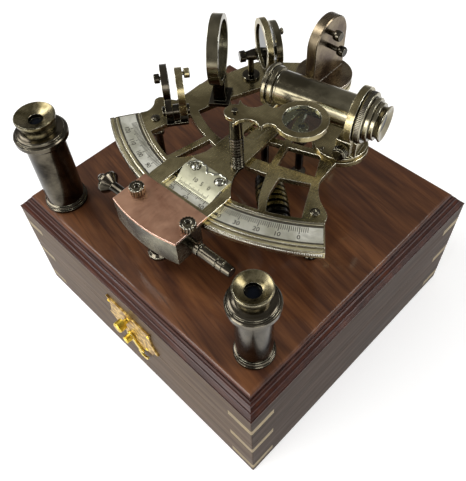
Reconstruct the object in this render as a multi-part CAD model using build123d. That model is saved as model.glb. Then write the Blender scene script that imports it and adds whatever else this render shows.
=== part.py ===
from build123d import *
import os
from math import atan2, cos, degrees, hypot, radians, sin, sqrt

# A boxed sextant set: a hardwood box with a hinged lid and a hook latch, the sextant standing
# on the lid, and two spare telescopes standing beside it.
# Millimetres. Origin: centre of the box's underside. X to the right along the latch wall,
# Y towards the hinges, Z up.

os.makedirs("parts", exist_ok=True)

# ------------------------------------------------------------------ box, driving dimensions
box_w = 260.0            # outside, along X
box_d = 243.0            # outside, along Y
case_h = 60.0            # height of the case below the seam
lid_h = 56.0             # height of the lid above the seam
wall_t = 10.0            # side boards
floor_t = 6.0            # bottom board, let in between the side boards
seam_gap = 0.3           # between case and lid
corner_r = 1.2           # rounding of the outside arrises
fit_gap = 0.3            # clearance between loose wooden or brass pieces

mould_h = 13.3           # height of the moulded edge of the lid board
mould_in = 12.1          # how far the flat of the lid stands in from the walls
mould_foot = 2.0         # height of the bead at the foot of the moulding
mould_ledge = 1.2        # ledge above the foot bead
mould_bead = 3.4         # radius of the bead at the flat of the lid
mould_quirk = 1.0        # small step under the top bead

inlay_h = 6.5            # corner inlays: height of a strip
inlay_len = 21.5         # how far a strip runs along each wall
inlay_t = 1.6            # how deep it is let in
case_inlay_z = (10.5, 47.5) # mid heights on the case
lid_inlay_up = 24.5      # mid height on the lid, above the seam

rack_l = 150.0           # rack for the spare telescopes, lying along the front wall
rack_d = 44.0
rack_h = 22.0
rack_bore_h = 16.0       # depth of its round pockets
rest_w = 34.0            # the two rests for the sextant
rest_d = 60.0
rest_h = 26.0
rest_notch_w = 14.0      # notch in a rest, for a leg
rest_notch_h = 15.0

# ------------------------------------------------------------------ hinges and latch
hinge_r = 3.0            # knuckle radius
hinge_pin_r = 1.4
hinge_fit = 0.06         # radial running clearance
hinge_l = 44.0
hinge_leaf_h = 20.0
hinge_leaf_t = 1.2
hinge_x = 72.0           # each hinge's distance from the middle
knuckle_gap = 0.3

latch_x = 5.5            # middle of the two plates
latch_w = 58.0           # width of the two plates together
latch_t = 1.4
latch_up = 29.5          # the lid's plate above the seam
latch_down = 17.0        # the case's plate below the seam
stud_x = 0.5             # the lid's stud
stud_up = 15.0           # above the seam
stud_neck_r = 2.2
stud_head_r = 4.6
stud_neck_l = 2.6
stud_head_l = 6.5
hook_x = 2.5             # the hook's pivot
hook_drop = 4.5          # below the seam
hook_pivot_r = 1.8
hook_boss_r = 3.2
hook_boss_l = 5.4
hook_arm_w = 4.4
hook_t = 1.6
hook_fit = 0.05          # radial clearance at the hook's pivot
hook_catch = 150.0       # swing of the hanging hook up to the stud
hook_mouth = 0.35        # clearance of the hook round the stud's neck

# ------------------------------------------------------------------ sextant
pivot_x = -4.3           # index pivot on the lid
pivot_y = 103.9
sextant_turn = 3.8       # the sextant stands turned on the lid
lid_top = case_h + lid_h
leg_h = 44.0             # lid to underside of the frame
frame_t = 4.0            # ribs and bars
limb_t = 5.5             # the graduated arc is thicker
limb_in = 143.5          # inner edge of the arc
scale_in = 150.5         # silvered scale let into the arc
scale_out = 162.5
limb_out = 170.0         # outer edge, cut with the worm's rack
limb_half = 36.0         # half angle of the arc
scale_t = 0.8
limb_groove = 0.6        # depth of the ring grooves beside the scale
groove_w = 1.0
boss_r = 22.0            # round boss at the pivot
cross_r = 107.0          # outer cross rib
upper_cross_r = 80.0     # inner cross rib
rib_w = 5.0              # thin ribs
cross_w = 7.0            # cross ribs
bar_w = 11.0             # outer bar on the right
strut_top = (17.9, -60.0)       # thin strut between the cross ribs
strut_foot = (29.3, -103.5)
inner_cross = ((4.0, -82.0), (55.0, -66.2))
outer_cross_top = ((28.0, -97.4), (57.2, -89.6), (62.0, -88.0))
outer_cross_foot = ((62.0, -95.0), (58.9, -96.5), (39.7, -104.9), (36.0, -106.8), (28.0, -108.0))
rib_left = ((28.5, -105.0), (29.9, -109.1), (34.7, -119.4), (38.8, -127.6), (45.2, -135.9), (49.0, -140.0))
rib_right = ((38.0, -103.0), (38.6, -105.7), (40.5, -114.7), (43.5, -123.8), (49.0, -132.8), (53.0, -138.0))
bar_inside = ((46.0, -62.0), (48.7, -70.8), (57.2, -89.6), (58.9, -96.5), (72.5, -125.7), (76.0, -130.0))
bar_outside = ((85.3, -117.5), (83.1, -111.8), (75.6, -106.9), (70.0, -102.5), (65.0, -96.3), (62.0, -89.3),
               (61.4, -80.3), (60.8, -73.5), (62.0, -66.0))
pad_x = 52.0             # round pad under the telescope's stand
pad_y = -52.0
pad_r = 20.0
lobe_x = -83.0           # small lobe beside the arc's left end
lobe_y = -99.5
lobe_r = 5.0
leg_r = 4.2
leg_foot_r = 5.6
leg_head_r = 3.4
leg_head_h = 1.0
leg_at = ((136.5, -31.8), (137.8, 33.4), (59.5, 20.0))   # radius and turn of each leg
grip_x = 34.0            # middle of the handle under the frame
grip_y = -107.0
grip_turn = 47.0         # its direction, to the right of the middle
grip_half = 23.0         # half length of the grip
grip_reach = 37.5        # its posts, from the middle
grip_r = 9.5             # rims of the fins at the ends
grip_swell = 2.0         # how much wider the middle is
grip_drop = 26.0         # its axis below the frame's top
grip_groove = 1.8
grip_pitch = 5.0
grip_rod_r = 2.2
grip_post_r = 3.0

# ------------------------------------------------------------------ index arm
arm_turn = -1.2          # how the arm stands at rest, from the middle of the arc
arm_gap = 0.3            # running gap over the frame
arm_t = 3.0
pivot_r = 5.0
pivot_fit = 0.05
pivot_nut_r = 8.0
pivot_nut_t = 4.0
arm_half_hub = 11.0      # half width near the hub
arm_left = 13.0          # edges of the shank, left and right of the arm's middle
arm_right = 16.2
arm_shoulder = 120.0     # where the shoulders start, from the pivot
arm_foot_half = 29.0     # half width over the arc
arm_foot = 141.0         # where the wide foot starts
arm_win_x = 3.0          # middle of the reading window
arm_win_half = 19.0
arm_win_in = 141.5
arm_win_out = 161.5
arm_slot_half = 6.0      # long slot in the arm
arm_slot_in = 36.0
arm_slot_out = 92.0
vernier_in = 131.5
vernier_bend = 141.5
vernier_out = 153.0
vernier_half = 18.0
vernier_t = 1.4
rim_gap = 0.8            # block to the arc's rim
block_half = 29.8
block_out = 193.5        # outer face at its corners
block_bulge = 4.0        # how far the outer face swells
block_h = 20.5
cover_t = 1.8
cover_in = 164.3
cover_screw_mid = 3.2    # middle between the two knurled screws
cover_screw_x = 24.0
cover_screw_y = 179.0
cover_screw_r = 4.7
cover_screw_h = 6.0
worm_y = 180.5           # worm shaft, from the pivot
worm_drop = 10.5         # below the block's top
worm_shaft_r = 3.0
worm_fit = 0.05
spindle_r = 4.2
spindle_len = 35.0
worm_knob_r = 8.5
worm_knob_len = 32.5     # from the block to its tip
clamp_y = 187.0          # clamp knob under the block
clamp_r = 7.5
clamp_shaft_r = 2.2
clamp_drop = 27.0

mirror_turn = 0.0        # direction of the index mirror's back
mirror_w = 38.5
mirror_h = 49.0
mirror_d = 8.0
mirror_rim = 3.2
mirror_base_r = 22.0
mirror_base_t = 2.2
glass_t = 2.0
mirror_screw_up = (28.5, 39.5)   # set screws in the mirror's back, above its base
mirror_screw_y = -3.5
mirror_screw_l = (14.5, 10.0)

magnifier_x = 12.9       # post on the arm
magnifier_y = 116.3
magnifier_post_r = 4.6
magnifier_h = 45.5       # arm's underside above the index arm
magnifier_reach = 42.4
magnifier_turn = 30.4    # direction of the lens from its post
magnifier_ring_r = 17.0
magnifier_lens_r = 12.2
magnifier_lip = 1.2      # how far the ring stands below its arm
magnifier_t = 2.6
magnifier_pin_r = 2.0
magnifier_head_r = 7.0
horn_y = 11.2            # the horns beside the scallops
scallop_big = (9.6, 14.2, 8.6)     # along, across, radius
scallop_small = (23.9, 12.4, 4.9)

# ------------------------------------------------------------------ telescope on the frame
scope_z = 34.0           # axis above the frame's top
scope_turn = 9.0
scope_x = -3.3           # front end of the barrel
scope_y = -64.0
barrel_r = 12.2
barrel_bore_r = 10.6
barrel_len = 82.5
scope_front_r = 15.2
scope_front_l = 8.0      # the two front rings together
scope_ring_at = 65.5     # the stand's ring along the barrel
scope_ring_len = 5.0
scope_ring_r = 19.5
knurl_r = 17.4
knurl_l = 4.6
step_r = 15.0
end_ring_r = 12.9
scope_lens_at = 5.2
scope_lens_t = 2.8
tube_fit = 0.05
tube_in = 46.0           # where the draw tube starts inside the barrel
eye_neck_r = 10.3
eye_cup_r = 12.3
eye_len = 4.4            # how far the eyepiece stands out
eye_hole_r = 5.0
stand_r = 19.0
stand_t = 3.0
stand_w = 16.0
stand_d = 9.0
stand_block = 10.0       # clamp block beside the upright
stand_block_h = 13.0
stand_block_shift = -4.5  # its middle, along the telescope, from the upright's
thumb_r = 4.8
thumb_len = 8.0
thumb_deep = 6.0

# ------------------------------------------------------------------ horizon mirror and shades
horizon_x = -48.0
horizon_y = -68.0
horizon_z = 44.0         # centre above the frame's top
horizon_turn = 33.0
horizon_r = 24.8
horizon_glass_r = 21.0
horizon_t = 8.0
shade_hub_r = 5.0
axle_r = 2.0
axle_fit = 0.05
shade_glass_t = 2.0
index_shade_r = (20.0, 17.6)      # the two leaves: ring, glass, reach from the pivot
index_shade_glass_r = (16.0, 14.4)
index_shade_reach = (23.5, 20.5)
index_shade_t = 4.6
index_shade_x = -47.0
index_shade_y = -33.0
index_shade_z = 20.0     # axle above the frame's top
index_shade_turn = 54.0  # direction of the axle
index_shade_lean = 48.0  # the leaves' slope at rest
index_shade_at = (6.6, 14.6) # leaves along the axle
index_post_r = 2.4
index_foot_r = 7.0
index_knob_out = 9.0     # the axle's end knob, from the post
horizon_shade_r = 13.4
horizon_shade_glass_r = 10.6
horizon_shade_reach = 20.3
horizon_shade_t = 5.2
horizon_shade_x = -57.0
horizon_shade_y = -107.0
horizon_shade_z = 10.0
horizon_shade_turn = 49.0
horizon_shade_lean = (50.0, 88.0)
horizon_shade_at = (-5.4, 5.0)
index_finger = (2.4, 2.4, -20.0)  # finger knobs on the leaves: radius, length, turn from the tip
horizon_fingers = ((3.6, 5.6, -70.0), (3.6, 5.6, -78.0))
shade_clear = 0.3        # between the leaves and the collars beside them

# ------------------------------------------------------------------ spare telescopes
scope_1_x = -box_w / 2 + 33.4
scope_1_y = -box_d / 2 + 27.5
scope_1_h = 85.5
scope_1_r = 14.5
scope_2_x = box_w / 2 - 28.5
scope_2_y = -box_d / 2 + 33.6
scope_2_h = 77.0
scope_2_r = 12.2
spare_flange = 1.9       # base ring beyond the tube
spare_collar = 4.6       # collar beyond the tube
spare_hole_r = 5.3

# ------------------------------------------------------------------ worked-out places
frame_top = lid_top + leg_h + frame_t
arm_z = frame_top + arm_gap
arm_top = arm_z + arm_t
lid_bottom = case_h + seam_gap
board_bottom = lid_top - mould_h
sextant = Location((pivot_x, pivot_y, 0), (0, 0, sextant_turn))
index = sextant * Location((0, 0, 0), (0, 0, arm_turn))


def save(solid, name):
    """Write one piece to its own file."""
    export_step(solid, f"parts/{name}.step")


def polar(radius, turn):
    """A point in the sextant's plan: turn is counted from the middle of the arc, to the right."""
    return (radius * sin(radians(turn)), -radius * cos(radians(turn)))


def slab(sketch, low, high):
    """A flat sketch made into a plate between two heights."""
    return extrude(Pos(0, 0, low) * sketch, high - low)


def cylinder(radius, low, high, x=0.0, y=0.0):
    """An upright cylinder between two heights."""
    return Pos(x, y, (low + high) / 2) * Cylinder(radius, high - low)


def ring(outer, inner, low, high):
    """An upright tube between two heights."""
    return cylinder(outer, low, high) - cylinder(inner, low - 1, high + 1)


def turned(points):
    """A solid turned about Z from (radius, height) points."""
    outline = make_face(Plane.XZ * Polyline(*points, close=True))
    return revolve(outline, Axis.Z)


def bar(start, end, width):
    """A straight rib with square ends between two plan points."""
    length = hypot(end[0] - start[0], end[1] - start[1])
    turn = degrees(atan2(end[1] - start[1], end[0] - start[0]))
    middle = ((start[0] + end[0]) / 2, (start[1] + end[1]) / 2)
    return Pos(*middle) * Rot(0, 0, turn) * Rectangle(length, width)


def sector(inner, outer, first, last):
    """A flat piece of a ring about the pivot, between two turns."""
    middle = (first + last) / 2
    reach = outer / cos(radians((last - first) / 4)) * 1.02
    wedge = make_face(Polyline((0, 0), polar(reach, first), polar(reach * 1.02, (first + middle) / 2),
                               polar(reach * 1.02, middle), polar(reach * 1.02, (middle + last) / 2),
                               polar(reach, last), close=True))
    return (Circle(outer) - Circle(inner)) & wedge


# ================================================================== box
def envelope(low, high, rounded_foot):
    """The outside of the case or the lid's walls, with its arrises eased."""
    block = Pos(0, 0, (low + high) / 2) * Box(box_w, box_d, high - low)
    block = fillet(block.edges().filter_by(Axis.Z), corner_r)
    if rounded_foot:
        block = fillet(block.faces().sort_by(Axis.Z)[0].edges(), corner_r)
    return block


def corner_inlays(heights):
    """L-shaped brass strips let into the four corners at the given heights."""
    strips = []
    for side_x in (-1, 1):
        for side_y in (-1, 1):
            for z in heights:
                x = side_x * (box_w - inlay_len) / 2
                y = side_y * (box_d - inlay_len) / 2
                outer = Pos(x, y, z) * Box(inlay_len, inlay_len, inlay_h)
                inner = Pos(x - side_x * inlay_t, y - side_y * inlay_t, z) * Box(
                    inlay_len, inlay_len, inlay_h + 1)
                strips.append(outer - inner)
    return strips


def mitred_wall(length, low, high):
    """One side board with mitred ends, its outside along the line y = 0, inside towards +Y."""
    half = length / 2
    plan = make_face(Polyline((-half, 0), (half, 0), (half - wall_t, wall_t),
                              (-half + wall_t, wall_t), close=True))
    return slab(plan, low, high)


def box_walls(low, high, rounded_foot, inlays, prefix):
    """Four mitred side boards with the recesses for the corner inlays."""
    outside = envelope(low, high, rounded_foot)
    places = {
        "front_wall": (Location((0, -box_d / 2, 0)), box_w),
        "back_wall": (Location((0, box_d / 2, 0), (0, 0, 180)), box_w),
        "left_wall": (Location((-box_w / 2, 0, 0), (0, 0, -90)), box_d),
        "right_wall": (Location((box_w / 2, 0, 0), (0, 0, 90)), box_d),
    }
    walls = {}
    for name, (place, length) in places.items():
        wall = (place * mitred_wall(length, low, high)) & outside
        for strip in inlays:
            wall = wall - strip
        walls[name] = wall
    save(walls["front_wall"], f"{prefix}_front_wall")
    save(walls["back_wall"], f"{prefix}_back_wall")
    save(Compound([walls["left_wall"], walls["right_wall"]]), f"{prefix}_side_walls")
    save(Compound([strip & outside for strip in inlays]), f"{prefix}_corner_inlays")


def moulded_section(half):
    """Half outline of the lid board's edge, mirrored about the middle."""
    foot = board_bottom
    top = lid_top
    cove_low = (half - mould_ledge, foot + mould_foot)
    step_in = mould_in - mould_bead
    cove_high = (half - step_in + mould_quirk, top - mould_bead - mould_quirk)
    cove_mid = ((cove_low[0] + cove_high[0]) / 2 - 0.9, (cove_low[1] + cove_high[1]) / 2 + 0.2)
    right = [
        Line((0, foot), (half, foot)),
        Line((half, foot), (half, foot + mould_foot - mould_ledge)),
        RadiusArc((half, foot + mould_foot - mould_ledge), cove_low, mould_ledge * 1.001,
                  short_sagitta=True),
        ThreePointArc(cove_low, cove_mid, cove_high),
        Line(cove_high, (half - step_in, cove_high[1])),
        Line((half - step_in, cove_high[1]), (half - step_in, top - mould_bead)),
        ThreePointArc((half - step_in, top - mould_bead),
                      (half - mould_in + mould_bead * cos(radians(45)),
                       top - mould_bead + mould_bead * sin(radians(45))),
                      (half - mould_in, top)),
        Line((half - mould_in, top), (0, top)),
    ]
    face = make_face(Wire([*right, Line((0, top), (0, foot))]).edges())
    return face + mirror(face, Plane.YZ)


def make_lid_board():
    """The lid's top board with its moulded, mitred edge."""
    along_y = extrude(Plane.XZ * moulded_section(box_w / 2), box_d / 2, both=True)
    along_x = extrude(Plane.YZ * moulded_section(box_d / 2), box_w / 2, both=True)
    return along_y & along_x


def make_box():
    """Case and lid boards, inlays and the fitted blocks inside."""
    box_walls(0, case_h, True, corner_inlays(case_inlay_z), "case")
    box_walls(lid_bottom, board_bottom, False, corner_inlays([case_h + lid_inlay_up]), "lid")
    save(make_lid_board(), "lid_board")
    inside_w = box_w - 2 * wall_t
    inside_d = box_d - 2 * wall_t
    save(Pos(0, 0, floor_t / 2) * Box(inside_w, inside_d, floor_t), "case_floor")
    seat = floor_t
    rack = Pos(0, -inside_d / 2 + fit_gap + rack_d / 2, seat + rack_h / 2) * Box(rack_l, rack_d, rack_h)
    for side, radius in ((-1, scope_1_r), (1, scope_2_r)):
        pocket_r = radius + spare_flange + 0.6
        rack = rack - cylinder(pocket_r, seat + rack_h - rack_bore_h, seat + rack_h + 1,
                               side * rack_l / 4, -inside_d / 2 + fit_gap + rack_d / 2)
    blocks = [rack]
    for side in (-1, 1):
        rest = Pos(side * (inside_w / 2 - fit_gap - rest_w / 2), 20, seat + rest_h / 2) * Box(
            rest_w, rest_d, rest_h)
        notch = Pos(side * (inside_w / 2 - fit_gap - rest_w / 2), 20, seat + rest_h) * Box(
            rest_notch_w, rest_d + 1, 2 * rest_notch_h)
        blocks.append(rest - notch)
    save(Compound(blocks), "fitted_blocks")


# ================================================================== hinges and latch
def make_hinges():
    """Two brass butt hinges on the back wall, with their pins."""
    back = box_d / 2
    pin_y = back + hinge_r + 0.2
    part = hinge_l / 5
    case_leaves = []
    lid_leaves = []
    pins = []
    for x in (-hinge_x, hinge_x):
        bore = Pos(x, pin_y, case_h) * Rot(0, 90, 0) * Cylinder(hinge_pin_r + hinge_fit, hinge_l + 2)
        for owner, shift, low, high in (
            (case_leaves, (-2, 0, 2), case_h - hinge_leaf_h, case_h),
            (lid_leaves, (-1, 1), lid_bottom, lid_bottom + hinge_leaf_h),
        ):
            leaf = Pos(x, back + hinge_leaf_t / 2, (low + high) / 2) * Box(
                hinge_l, hinge_leaf_t, high - low)
            clear = Pos(x, pin_y, case_h) * Rot(0, 90, 0) * Cylinder(hinge_r + knuckle_gap, hinge_l + 2)
            leaf = leaf - clear
            for k in shift:
                length = part - knuckle_gap
                knuckle = Pos(x + k * part, pin_y, case_h) * Rot(0, 90, 0) * Cylinder(hinge_r, length)
                side = -1 if owner is case_leaves else 1
                web = Pos(x + k * part, back + hinge_leaf_t / 2, case_h + side * hinge_r * 0.75) * Box(
                    length, hinge_leaf_t, hinge_r * 1.5)
                leaf = leaf + knuckle + web
            owner.append(leaf - bore)
        pins.append(Pos(x, pin_y, case_h) * Rot(0, 90, 0) * Cylinder(hinge_pin_r, hinge_l + 1))
    save(Compound(case_leaves), "hinge_case_leaves")
    save(Compound(lid_leaves), "hinge_lid_leaves")
    save(Compound(pins), "hinge_pins")


def latch_outline():
    """Both latch plates in one scalloped outline, in the wall's plane: x to the right, y up."""
    half = latch_w / 2
    top = latch_up - 1.5
    ear = (half * 0.88, latch_up)
    tip = (half, latch_up * 0.07)
    lobe = (half * 0.74, -latch_down * 0.38)
    foot = (half * 0.28, -latch_down * 0.9)
    nose = (0, -latch_down)
    right = make_face([
        Line((0, top), (half * 0.74, top)),
        ThreePointArc((half * 0.74, top), (half * 0.82, top + 0.4), ear),
        ThreePointArc(ear, (half * 0.81, latch_up * 0.55), tip),
        ThreePointArc(tip, (half * 0.8, -latch_down * 0.1), lobe),
        ThreePointArc(lobe, (half * 0.5, -latch_down * 0.5), foot),
        Line(foot, nose),
        Line(nose, (0, top)),
    ])
    return right + mirror(right, Plane.YZ)


def on_front(low, high):
    """Turns a plate drawn in plan into one standing on the latch wall, from low to high off it."""
    return Plane(origin=(0, -box_d / 2 - low, case_h), x_dir=(1, 0, 0), z_dir=(0, -1, 0)), high - low


def front_disc(x, z, radius, low, high):
    """A round piece standing off the latch wall."""
    return Pos(x, -box_d / 2 - (low + high) / 2, z) * Rot(90, 0, 0) * Cylinder(radius, high - low)


def make_latch():
    """Scalloped plates on lid and case, the lid's stud, the case's pivot and the swinging hook."""
    plane, depth = on_front(0, latch_t)
    both = Pos(latch_x, 0, 0) * extrude(plane * latch_outline(), depth)
    lid_side = Pos(latch_x, -box_d / 2, lid_bottom + latch_up) * Box(latch_w * 2, 20, 2 * latch_up)
    case_side = Pos(latch_x, -box_d / 2, case_h - latch_down) * Box(latch_w * 2, 20, 2 * latch_down)
    stud_z = case_h + stud_up
    pivot_z = case_h - hook_drop
    neck_end = latch_t + stud_neck_l
    stud = front_disc(stud_x, stud_z, stud_neck_r, latch_t, neck_end)
    stud = stud + front_disc(stud_x, stud_z, stud_head_r, neck_end, neck_end + stud_head_l)
    stud = chamfer(stud.faces().sort_by(Axis.Y)[0].edges(), 0.8)
    save((both & lid_side), "latch_lid_plate")
    save(stud, "latch_stud")
    save((both & case_side), "latch_case_plate")
    hook_low = latch_t + fit_gap
    hook_high = hook_low + hook_t
    pivot = front_disc(hook_x, pivot_z, hook_pivot_r, latch_t, hook_high + fit_gap)
    pivot = pivot + front_disc(hook_x, pivot_z, hook_boss_r, hook_high + fit_gap, hook_high + hook_boss_l)
    pivot = chamfer(pivot.faces().sort_by(Axis.Y)[0].edges(), 0.6)
    save(pivot, "latch_pivot")
    reach = hypot(stud_x - hook_x, stud_up + hook_drop)
    rest = degrees(atan2(stud_up + hook_drop, stud_x - hook_x)) - hook_catch
    mouth_r = stud_neck_r + hook_mouth
    outer_r = mouth_r + hook_arm_w * 0.7
    arm = Circle(hook_arm_w) + Pos(reach / 2, 0) * Rectangle(reach, hook_arm_w)
    eye = Pos(reach, 0) * Circle(outer_r)
    # the mouth is curved about the pivot, and opens on the side that meets the stud
    sweep = Circle(reach + mouth_r) - Circle(reach - mouth_r)
    sweep = sweep & (Pos(reach, outer_r) * Rectangle(4 * outer_r, 2 * outer_r))
    hook = arm + eye - Pos(reach, 0) * Circle(mouth_r) - sweep
    hook = hook - Circle(hook_pivot_r + hook_fit)
    lie = Plane(origin=(hook_x, -box_d / 2 - hook_low, pivot_z), x_dir=(1, 0, 0), z_dir=(0, -1, 0))
    save(extrude(lie * (Rot(0, 0, rest) * hook), hook_t), "latch_hook")


# ================================================================== sextant frame
def curved_face(first, second):
    """A face between two smooth edges, given by points that run in opposite directions."""
    ends = [Line(first[-1], second[0]), Line(second[-1], first[0])]
    return make_face([Spline(*first), ends[0], Spline(*second), ends[1]])


def make_frame():
    """The cast frame: boss, ribs, bars, pads and the graduated arc, in one piece."""
    plan = Circle(boss_r)
    plan = plan + Pos(pad_x, pad_y) * Circle(pad_r)
    # right side: boss to pad, pad to arc, and the ribs between
    plan = plan + bar((0, 0), (pad_x, pad_y), bar_w)
    ends = [Line(bar_inside[-1], bar_outside[0]), Line(bar_outside[-1], bar_inside[0])]
    plan = plan + make_face([Polyline(*bar_inside), ends[0], Spline(*bar_outside), ends[1]])
    plan = plan + bar(polar(boss_r - 4, 0), polar(limb_in + 2, 0), bar_w)
    plan = plan + bar(*inner_cross, rib_w)
    plan = plan + bar(polar(boss_r, 12), strut_top, rib_w)
    plan = plan + bar(strut_top, strut_foot, rib_w)
    third = polar(*leg_at[2])
    plan = plan + Pos(*third) * Circle(leg_r + 1)
    plan = plan + sector(cross_r - cross_w * 0.7, cross_r + cross_w * 0.7, 0, 18)
    plan = plan + make_face(Polyline(*outer_cross_top, *outer_cross_foot, close=True))
    plan = plan + curved_face(rib_left, rib_right[::-1])
    # left side: the wide bar that carries the mirror and the shades
    plan = plan + make_face(Polyline(
        (-4, boss_r - 1), (-55, -16), (-73, -66), polar(limb_in - 22, -37), polar(limb_in + 1, -limb_half),
        polar(limb_in + 1, -27), polar(cross_r, -30), (-43, -62), (-30, -34), (-14, -14), close=True))
    plan = plan + sector(cross_r - cross_w / 2, cross_r + cross_w / 2, -32, 0)
    plan = plan + sector(upper_cross_r - rib_w / 2, upper_cross_r + rib_w / 2, -34, 0)
    plan = plan + bar(polar(cross_r, -14), polar(limb_in + 2, -14), rib_w)
    # the small lobe beside the arc's left end, with its hollow neck
    end = polar(limb_in + 2, 0.4 - limb_half)
    side = (lobe_x - lobe_r * 0.7, lobe_y - lobe_r * 0.7)
    top = (lobe_x + lobe_r * 0.3, lobe_y + lobe_r * 0.95)
    plan = plan + Pos(lobe_x, lobe_y) * Circle(lobe_r)
    inner = [(lobe_x, lobe_y), top, (lobe_x + 12, lobe_y + 10), (lobe_x + 13, end[1])]
    neck = ThreePointArc(end, ((end[0] + side[0]) / 2 + 2.6, (end[1] + side[1]) / 2), side)
    plan = plan + make_face([Polyline(side, *inner, end), neck])
    limb = sector(limb_in, limb_out, -limb_half, limb_half)
    body = slab(plan, frame_top - frame_t, frame_top) + slab(limb, frame_top - limb_t, frame_top)
    groove = sector(scale_in, scale_out, -limb_half + 0.4, limb_half - 0.4)
    body = body - slab(groove, frame_top - scale_t, frame_top + 1)
    for radius in ((limb_in + scale_in) / 2, (scale_out + limb_out) / 2):
        cut = sector(radius - groove_w / 2, radius + groove_w / 2, -limb_half - 1, limb_half + 1)
        body = body - slab(cut, frame_top - limb_groove, frame_top + 1)
    body = body - cylinder(pivot_r + pivot_fit, frame_top - 20, frame_top + 1)
    save(sextant * body, "sextant_frame")
    save(sextant * slab(groove, frame_top - scale_t, frame_top), "arc_scale")


def grip_outline():
    """Half outline of the finned grip: fins whose rims swell towards the middle."""
    end_r = grip_r - grip_groove - 0.6
    points = [(0, -grip_half), (end_r, -grip_half)]
    fins = int(2 * grip_half / grip_pitch)
    for k in range(fins):
        low = (k - fins / 2) * grip_pitch
        middle = low + grip_pitch / 2
        rim = grip_r + grip_swell * (1 - (middle / grip_half) ** 2)
        core = rim - grip_groove
        points += [(core, low + grip_pitch * 0.08), (core, low + grip_pitch * 0.34),
                   (rim, low + grip_pitch * 0.44), (rim, low + grip_pitch * 0.92)]
    return points + [(end_r, grip_half), (0, grip_half)]


def make_legs_and_grip():
    """Three turned legs with screw heads, and the finned handle on its two posts."""
    under = frame_top - frame_t
    foot = lid_top
    legs = []
    for number, (radius, turn) in enumerate(leg_at):
        x, y = polar(radius, turn)
        leg = turned([(0, foot), (leg_foot_r - 1.2, foot), (leg_foot_r, foot + 1.2), (leg_foot_r, foot + 3),
                      (leg_r - 1, foot + 6), (leg_r - 1, under - 12), (leg_r + 0.8, under - 10),
                      (leg_r + 0.8, under - 7), (leg_r, under - 6), (leg_r, under), (0, under)])
        legs.append(Pos(x, y, 0) * leg)
        # the third leg's screw is sunk flush
        if number < 2:
            legs.append(cylinder(leg_head_r, frame_top, frame_top + leg_head_h, x, y))
    save(sextant * Compound(legs), "frame_legs")
    axis_z = frame_top - grip_drop
    along = polar(1, grip_turn)
    lie = Plane(origin=(grip_x, grip_y, axis_z), x_dir=(0, 0, 1), z_dir=(along[0], along[1], 0)).location
    save(sextant * (lie * turned(grip_outline())), "handle_grip")
    posts = []
    for side, top in ((-1, under), (1, frame_top - limb_t)):
        x = grip_x + side * grip_reach * along[0]
        y = grip_y + side * grip_reach * along[1]
        ends = sorted((side * grip_half, side * grip_reach))
        post = cylinder(grip_post_r, axis_z - grip_post_r, top, x, y)
        posts.append(post + lie * cylinder(grip_rod_r, ends[0], ends[1]))
    save(sextant * Compound(posts), "handle_posts")


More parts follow.
